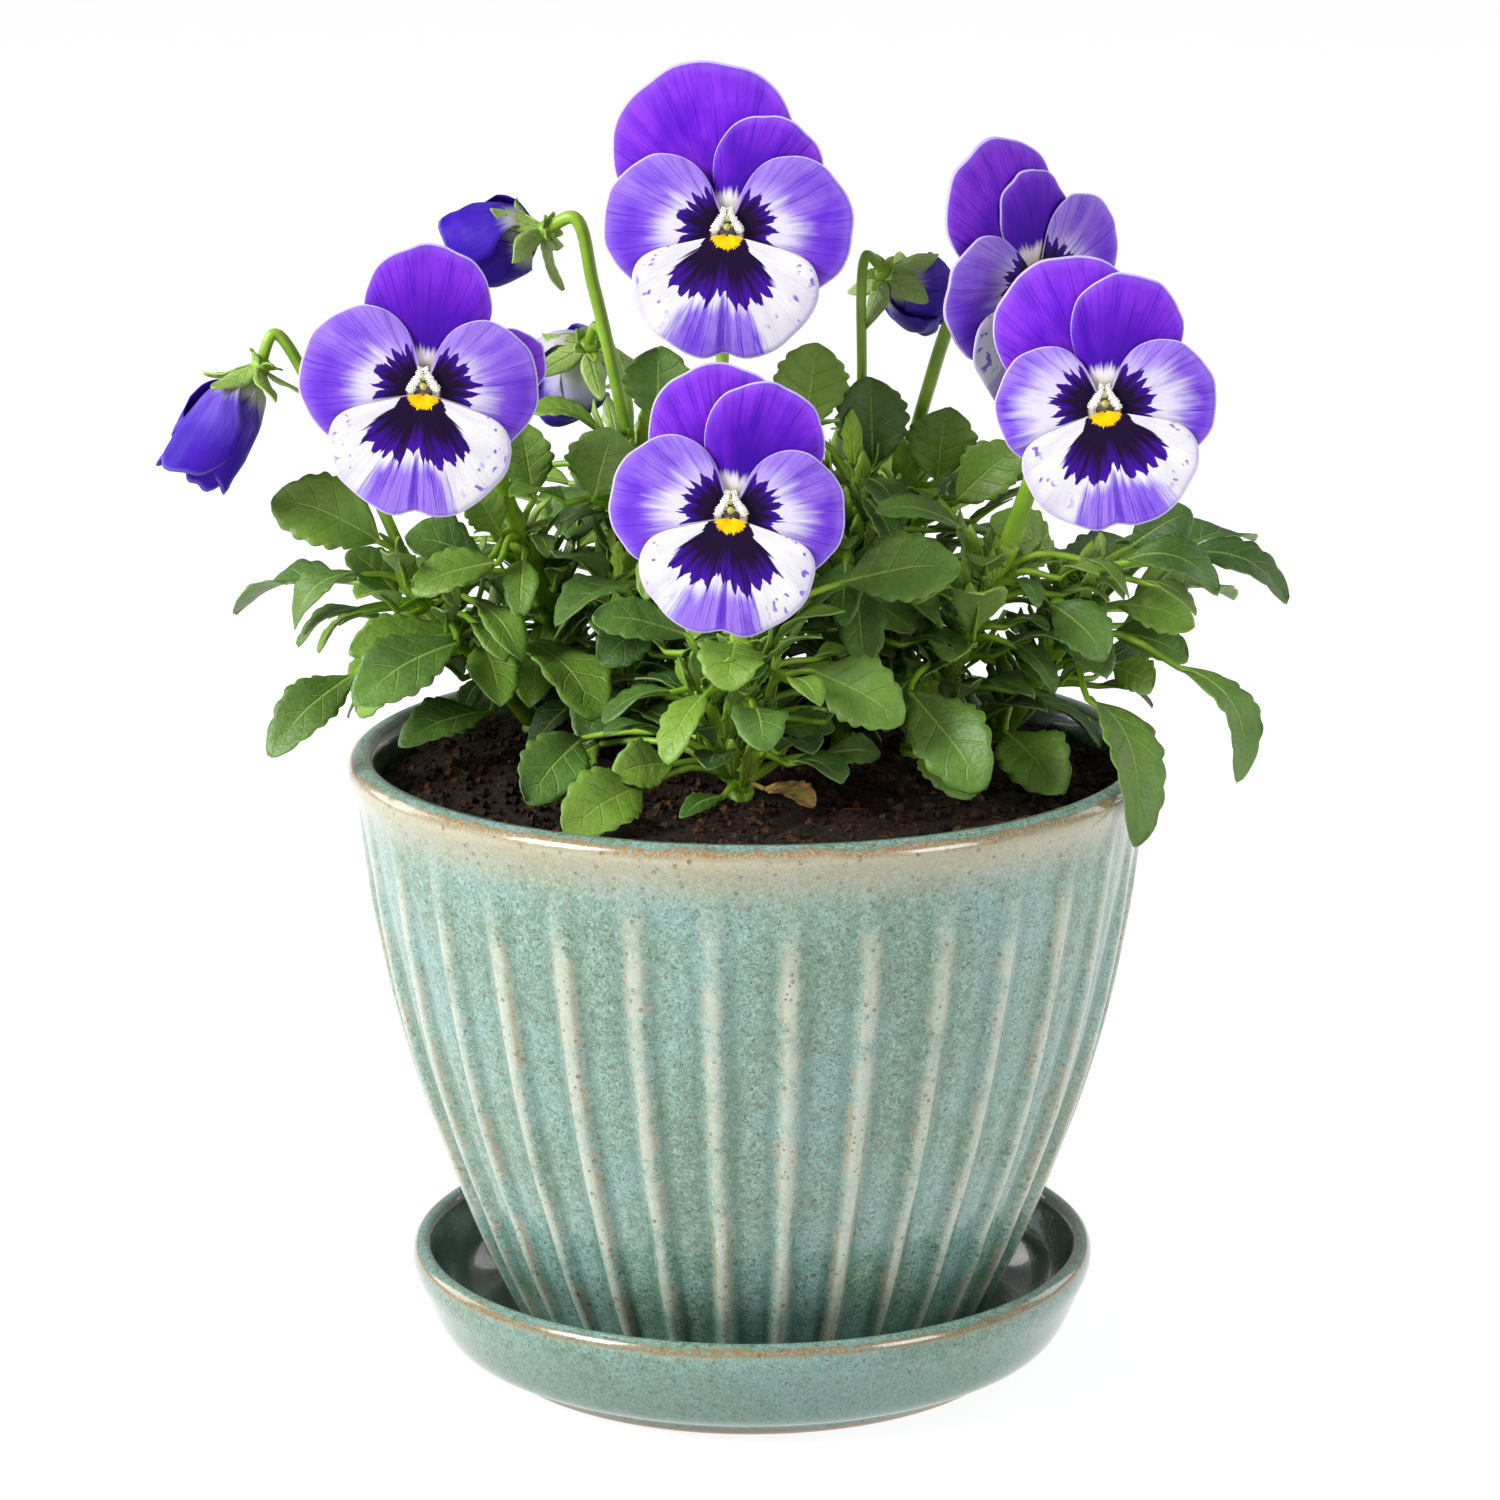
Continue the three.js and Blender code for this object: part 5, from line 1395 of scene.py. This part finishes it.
def upper_material():
    parts = petal_shader("petal_upper")
    shader, angle, reach, ring, tone, under, streak, fine, veins = parts
    base = shader.blend(streak.rises(0.36, 0.64), "#540cb4", "#7224c6")
    base = shader.blend(ring.rises(0.6, 1.0) * 0.4, base, "#8440cc")
    base = shader.blend(fine.rises(0.48, 0.64) * 0.4, base, "#4408a4")
    core = reach.rises(28, 12) * (abs(angle) + (streak - 0.5) * 0.8).rises(0.8, 0.15)
    base = shader.blend(core * (tone * 0.7 + 0.3), base, "#280270")
    base = shader.blend(tone.rises(0.45, 0.55) * reach.rises(34, 20) * 0.5, base, "#3a0498")
    base = shader.blend(reach.rises(17, 9) * 0.5, base, "#300284")
    base = shader.blend(veins * reach.rises(50, 24) * 0.7, base, "#34067e")
    base = shader.blend((reach + (fine - 0.5) * 6).rises(11, 8.5), base, "#cfcad0")
    base = shader.blend(reach.rises(8.5, 6), base, "#c4c0a8")
    return shader.finish(petal_edge(shader, base, ring, under), 0.6)


def lateral_material():
    """Its angle runs from the petal's middle line up towards the upper petals."""
    parts = petal_shader("petal_lateral")
    shader, angle, reach, ring, tone, under, streak, fine, veins = parts
    base = shader.blend(streak.rises(0.35, 0.65), "#6434bc", "#7e56c6")
    above = (angle + (streak - 0.5) * 1.2).rises(-0.05, 0.9)
    base = shader.blend(above * 0.65, base, "#947aca")
    base = shader.blend(ring.rises(0.75, 1.0) * 0.3, base, "#9478d4")
    deep = (angle + (streak - 0.5) * 0.9).rises(0.55, -0.1)
    deep = deep * angle.rises(-1.5, -0.5) * (reach + (streak - 0.5) * 12).rises(17, 25)
    base = shader.blend(deep * ring.rises(1.05, 0.85) * 0.7, base, "#5416ba")
    base = shader.blend(fine.rises(0.5, 0.64) * 0.35, base, "#4c1eb0")
    base = shader.blend(veins * 0.6, base, "#3e1096")
    spread = (streak - 0.5) * 12 + (fine - 0.5) * 11
    white = (reach + abs(angle + 0.1) * 7 + spread - tone * 8).rises(21, 12)
    base = shader.blend(white * (1 - above * 0.45) * 0.92, base, "#cac6d2")
    fan = abs(angle - 0.31)
    spikes = spikes_along(shader, angle, streak, 3.6)
    limit = 10.6 + spikes * 3 + (streak - 0.5) * 3 + fine.rises(0.5, 0.7) * 1.6 - fan * 1.5
    blotch = (limit - reach).rises(0, 0.4) * (fan + (fine - 0.5) * 0.16).rises(0.76, 0.7)
    ink = shader.blend((limit - reach).rises(0.2, 4.5), "#30087c", "#150326")
    base = shader.blend(blotch, base, ink)
    base = shader.blend(reach.rises(4.2, 3.2), base, "#d6d0c2")
    return shader.finish(petal_edge(shader, base, ring, under), 0.6)


def lower_material():
    """Its angle runs from the petal's middle line to the side where its violet is wider."""
    parts = petal_shader("petal_lower")
    shader, angle, reach, ring, tone, under, streak, fine, veins = parts
    side = abs(angle - 0.08)
    base = shader.blend(streak.rises(0.35, 0.7), "#d3d2d4", "#c2bfc8")
    band = (angle + (fine - 0.5) * 0.25).rises(-0.4, -0.26)
    band = band * (angle + (fine - 0.5) * 0.4).rises(0.6, 0.4)
    band = band * (reach - side * 7 + (fine - 0.5) * 11).rises(14, 19)
    tint = shader.blend(streak.rises(0.35, 0.6), "#642ec4", "#8460cc")
    base = shader.blend(band * 0.92, base, tint)
    base = shader.blend(band * fine.rises(0.5, 0.62) * 0.5, base, "#5012b6")
    base = shader.blend(veins * reach.rises(15, 21) * (band * 0.7 + 0.12), base, "#420ca4")
    seam = abs(angle - 0.03).rises(0.05, 0.015) * reach.rises(13, 16)
    base = shader.blend(seam * 0.7, base, "#3c0aa0")
    spot = shader.vector(angle * 12, reach * 0.4, tone * 5)
    blobs = shader.noise(spot, 1.0, 1.0).rises(0.6, 0.66)
    blobs = blobs * ring.rises(0.74, 0.82) * ring.rises(0.98, 0.93) * side.rises(0.45, 0.65)
    base = shader.blend(blobs * 0.85, base, "#5526b4")
    base = shader.blend(ring.rises(0.85, 0.97) * side.rises(0.5, 0.9) * 0.15, base, "#a595cc")
    spikes = spikes_along(shader, angle, streak, 5.5)
    limit = 12.6 + side.rises(0, 0.3) * 3.6 + spikes * 2.8 + (streak - 0.5) * 4
    limit = limit + fine.rises(0.5, 0.7) * 1.4
    edge = 1.0 + reach.rises(8, 3) * 0.5 - reach.rises(9, 19) * 0.14
    blotch = (limit - reach).rises(0, 0.4) * (edge - side + (fine - 0.5) * 0.3).rises(0, 0.05)
    ink = shader.blend((limit - reach).rises(0.3, 8), "#380a8c", "#160328")
    ink = shader.blend(fine.rises(0.48, 0.58) * reach.rises(5, 10) * 0.6, ink, "#12021e")
    base = shader.blend(blotch, base, ink)
    eye = (4.0 + (fine - 0.5) * 3.0 - reach).rises(0, 0.3)
    gold = shader.blend(streak.rises(0.4, 0.65), "#eabc00", "#e0a800")
    base = shader.blend(eye, base, gold)
    return shader.finish(petal_edge(shader, base, ring, under), 0.6)


def heart_material():
    """White hairs, green stigma, pale anthers and the pale tube behind: kind 0, 1, 2, 3."""
    shader = Shader("flower_heart", Specular_IOR_Level=0.3, Subsurface_Weight=0.05,
                    Subsurface_Scale=0.0006)
    tone, kind, _ = shader.attribute("shade")
    fine = shader.noise(shader.position(), 1.2, 3)
    base = shader.blend((tone + (fine - 0.5) * 0.3).rises(0.75, 1.05) * 0.6, "#e8e5dc", "#d6c98a")
    base = shader.blend(kind.rises(0.5, 0.9), base, "#a8a052")
    base = shader.blend(kind.rises(1.5, 1.9), base, "#b4ae86")
    tube = shader.blend(fine.rises(0.35, 0.65), "#b3b291", "#8a72ba")
    base = shader.blend(kind.rises(2.5, 2.9), base, tube)
    shader.bump(fine, 0.1, 0.3)
    return shader.finish(base, 0.5)


def bud_material():
    parts = petal_shader("bud")
    shader, _, _, ring, tone, under, streak, fine, veins = parts
    base = shader.blend(ring.rises(0.15, 0.8), "#6c54bc", "#3c18a2")
    base = shader.blend(tone.rises(-0.1, -0.5) * 0.75, base, "#32069c")
    base = shader.blend(streak.rises(0.35, 0.65) * 0.5, base, "#2a0c88")
    base = shader.blend(veins * 0.5, base, "#26107c")
    pale = tone.rises(0.6, 0.95) * (ring + (streak - 0.5) * 0.5).rises(0.6, 0.3)
    base = shader.blend(pale * 0.7, base, "#cfcce4")
    foot = (ring + (fine - 0.5) * 0.2).rises(0.3, 0.1)
    base = shader.blend(foot * 0.75, base, "#c6c9a4")
    base = shader.blend(under * 0.6, base, "#2c0a88")
    base = shader.blend(ring.rises(0.95, 0.99) * 0.5, base, "#7a68c0")
    return shader.finish(base, 0.5)


def withered_material():
    shader = Shader("withered", Specular_IOR_Level=0.3)
    across, _, _ = shader.attribute("place")
    fine = shader.noise(shader.position(), 0.5, 4, 0.65)
    base = shader.blend(fine.rises(0.35, 0.65), "#6e4a28", "#a3874a")
    base = shader.blend(abs(across).rises(0.5, 0.1) * 0.4, base, "#93924a")
    shader.bump(fine, 0.4, 0.8)
    return shader.finish(base, 0.7)


MATERIALS = {
    "pot": glaze("pot_glaze", RIM_HEIGHT, POT_BAND),
    "saucer": glaze("saucer_glaze", SAUCER_HEIGHT, SAUCER_BAND),
    "soil": soil_material(),
    "leaf": leaf_material(),
    "stem": stem_material(),
    "upper": upper_material(),
    "lateral": lateral_material(),
    "lower": lower_material(),
    "heart": heart_material(),
    "bud": bud_material(),
    "withered": withered_material(),
}


# ---- Camera, floor and light -------------------------------------------------------------

CAMERA_PLACE = [-0.5, -1267.87, 466.67]
CAMERA_PITCH = 13.81  # degrees below level
CAMERA_LENS = 126.3
SENSOR_WIDTH = 36
FLOOR_REACH = 40.0  # metres, from the planter to the floor's edge
FLOOR_GLOW = 0.85
SKY_GLOW = 0.35


def make_camera():
    camera = bpy.data.objects.new("camera", bpy.data.cameras.new("camera"))
    camera.data.sensor_width = SENSOR_WIDTH
    camera.data.lens = CAMERA_LENS
    camera.location = vec(CAMERA_PLACE) * METRES
    camera.rotation_euler = (math.radians(90 - CAMERA_PITCH), 0, 0)
    bpy.context.collection.objects.link(camera)
    bpy.context.scene.camera = camera


def make_floor():
    """A pale floor that shines a little, so that it stays white round the planter."""
    mesh = bpy.data.meshes.new("floor")
    corners = [(-FLOOR_REACH, -FLOOR_REACH, 0), (FLOOR_REACH, -FLOOR_REACH, 0),
               (FLOOR_REACH, FLOOR_REACH, 0), (-FLOOR_REACH, FLOOR_REACH, 0)]
    mesh.from_pydata(corners, [], [(0, 1, 2, 3)])
    floor = bpy.data.objects.new("floor", mesh)
    bpy.context.collection.objects.link(floor)
    shader = Shader("floor", Roughness=0.9, Emission_Strength=FLOOR_GLOW)
    shader.surface.inputs["Emission Color"].default_value = (1, 1, 1, 1)
    fine = shader.noise(shader.position(), 0.02, 2)
    mesh.materials.append(shader.finish(shader.blend(fine, "#8c8c8c", "#949494")))


def soft_light(name, place, size, power):
    """A square panel of light that looks at the planter's middle."""
    light = bpy.data.lights.new(name, "AREA")
    light.size = size
    light.energy = power
    lamp = bpy.data.objects.new(name, light)
    lamp.location = place
    aim = Vector((0, 0, 0.16)) - Vector(place)
    lamp.rotation_euler = aim.to_track_quat("-Z", "Y").to_euler()
    bpy.context.collection.objects.link(lamp)


def make_world():
    world = bpy.data.worlds.new("studio")
    world.use_nodes = True
    world.node_tree.nodes["Background"].inputs["Color"].default_value = (1, 1, 1, 1)
    world.node_tree.nodes["Background"].inputs["Strength"].default_value = SKY_GLOW
    bpy.context.scene.world = world


bpy.context.scene.view_settings.view_transform = "Standard"
make_camera()
make_floor()
make_world()
soft_light("key", (-1.6, -0.9, 1.3), 0.8, 68)
soft_light("fill", (1.5, -1.1, 0.8), 0.7, 14)
soft_light("rim_left", (-1.7, 1.0, 0.8), 0.9, 11)
soft_light("rim_right", (1.7, 1.1, 0.8), 0.9, 6)


# ---- The planter -------------------------------------------------------------------------

make_saucer()
make_pot()
crumb_draw = seeded_random(CRUMB_SEED)
make_soil(crumb_draw)
make_withered_leaf()

space = Space()
reserve(space)
fill_draw = seeded_random(SEED)
large_leaves = {name: shoot_leaves(spec, space, fill_draw) for name, spec in SHOOTS.items()}
look_draw = seeded_random(LOOK_SEED)
small_leaves = {name: young_leaves(spec, space, look_draw) for name, spec in SHOOTS.items()}
for shoot_name, shoot in SHOOTS.items():
    make_shoot(shoot_name, shoot, large_leaves[shoot_name], small_leaves[shoot_name], look_draw)
for bloom_name, bloom in BLOOMS.items():
    make_bloom(bloom_name, bloom, look_draw)
for bud_name, bud_spec in BUDS.items():
    make_bud(bud_name, bud_spec, look_draw)
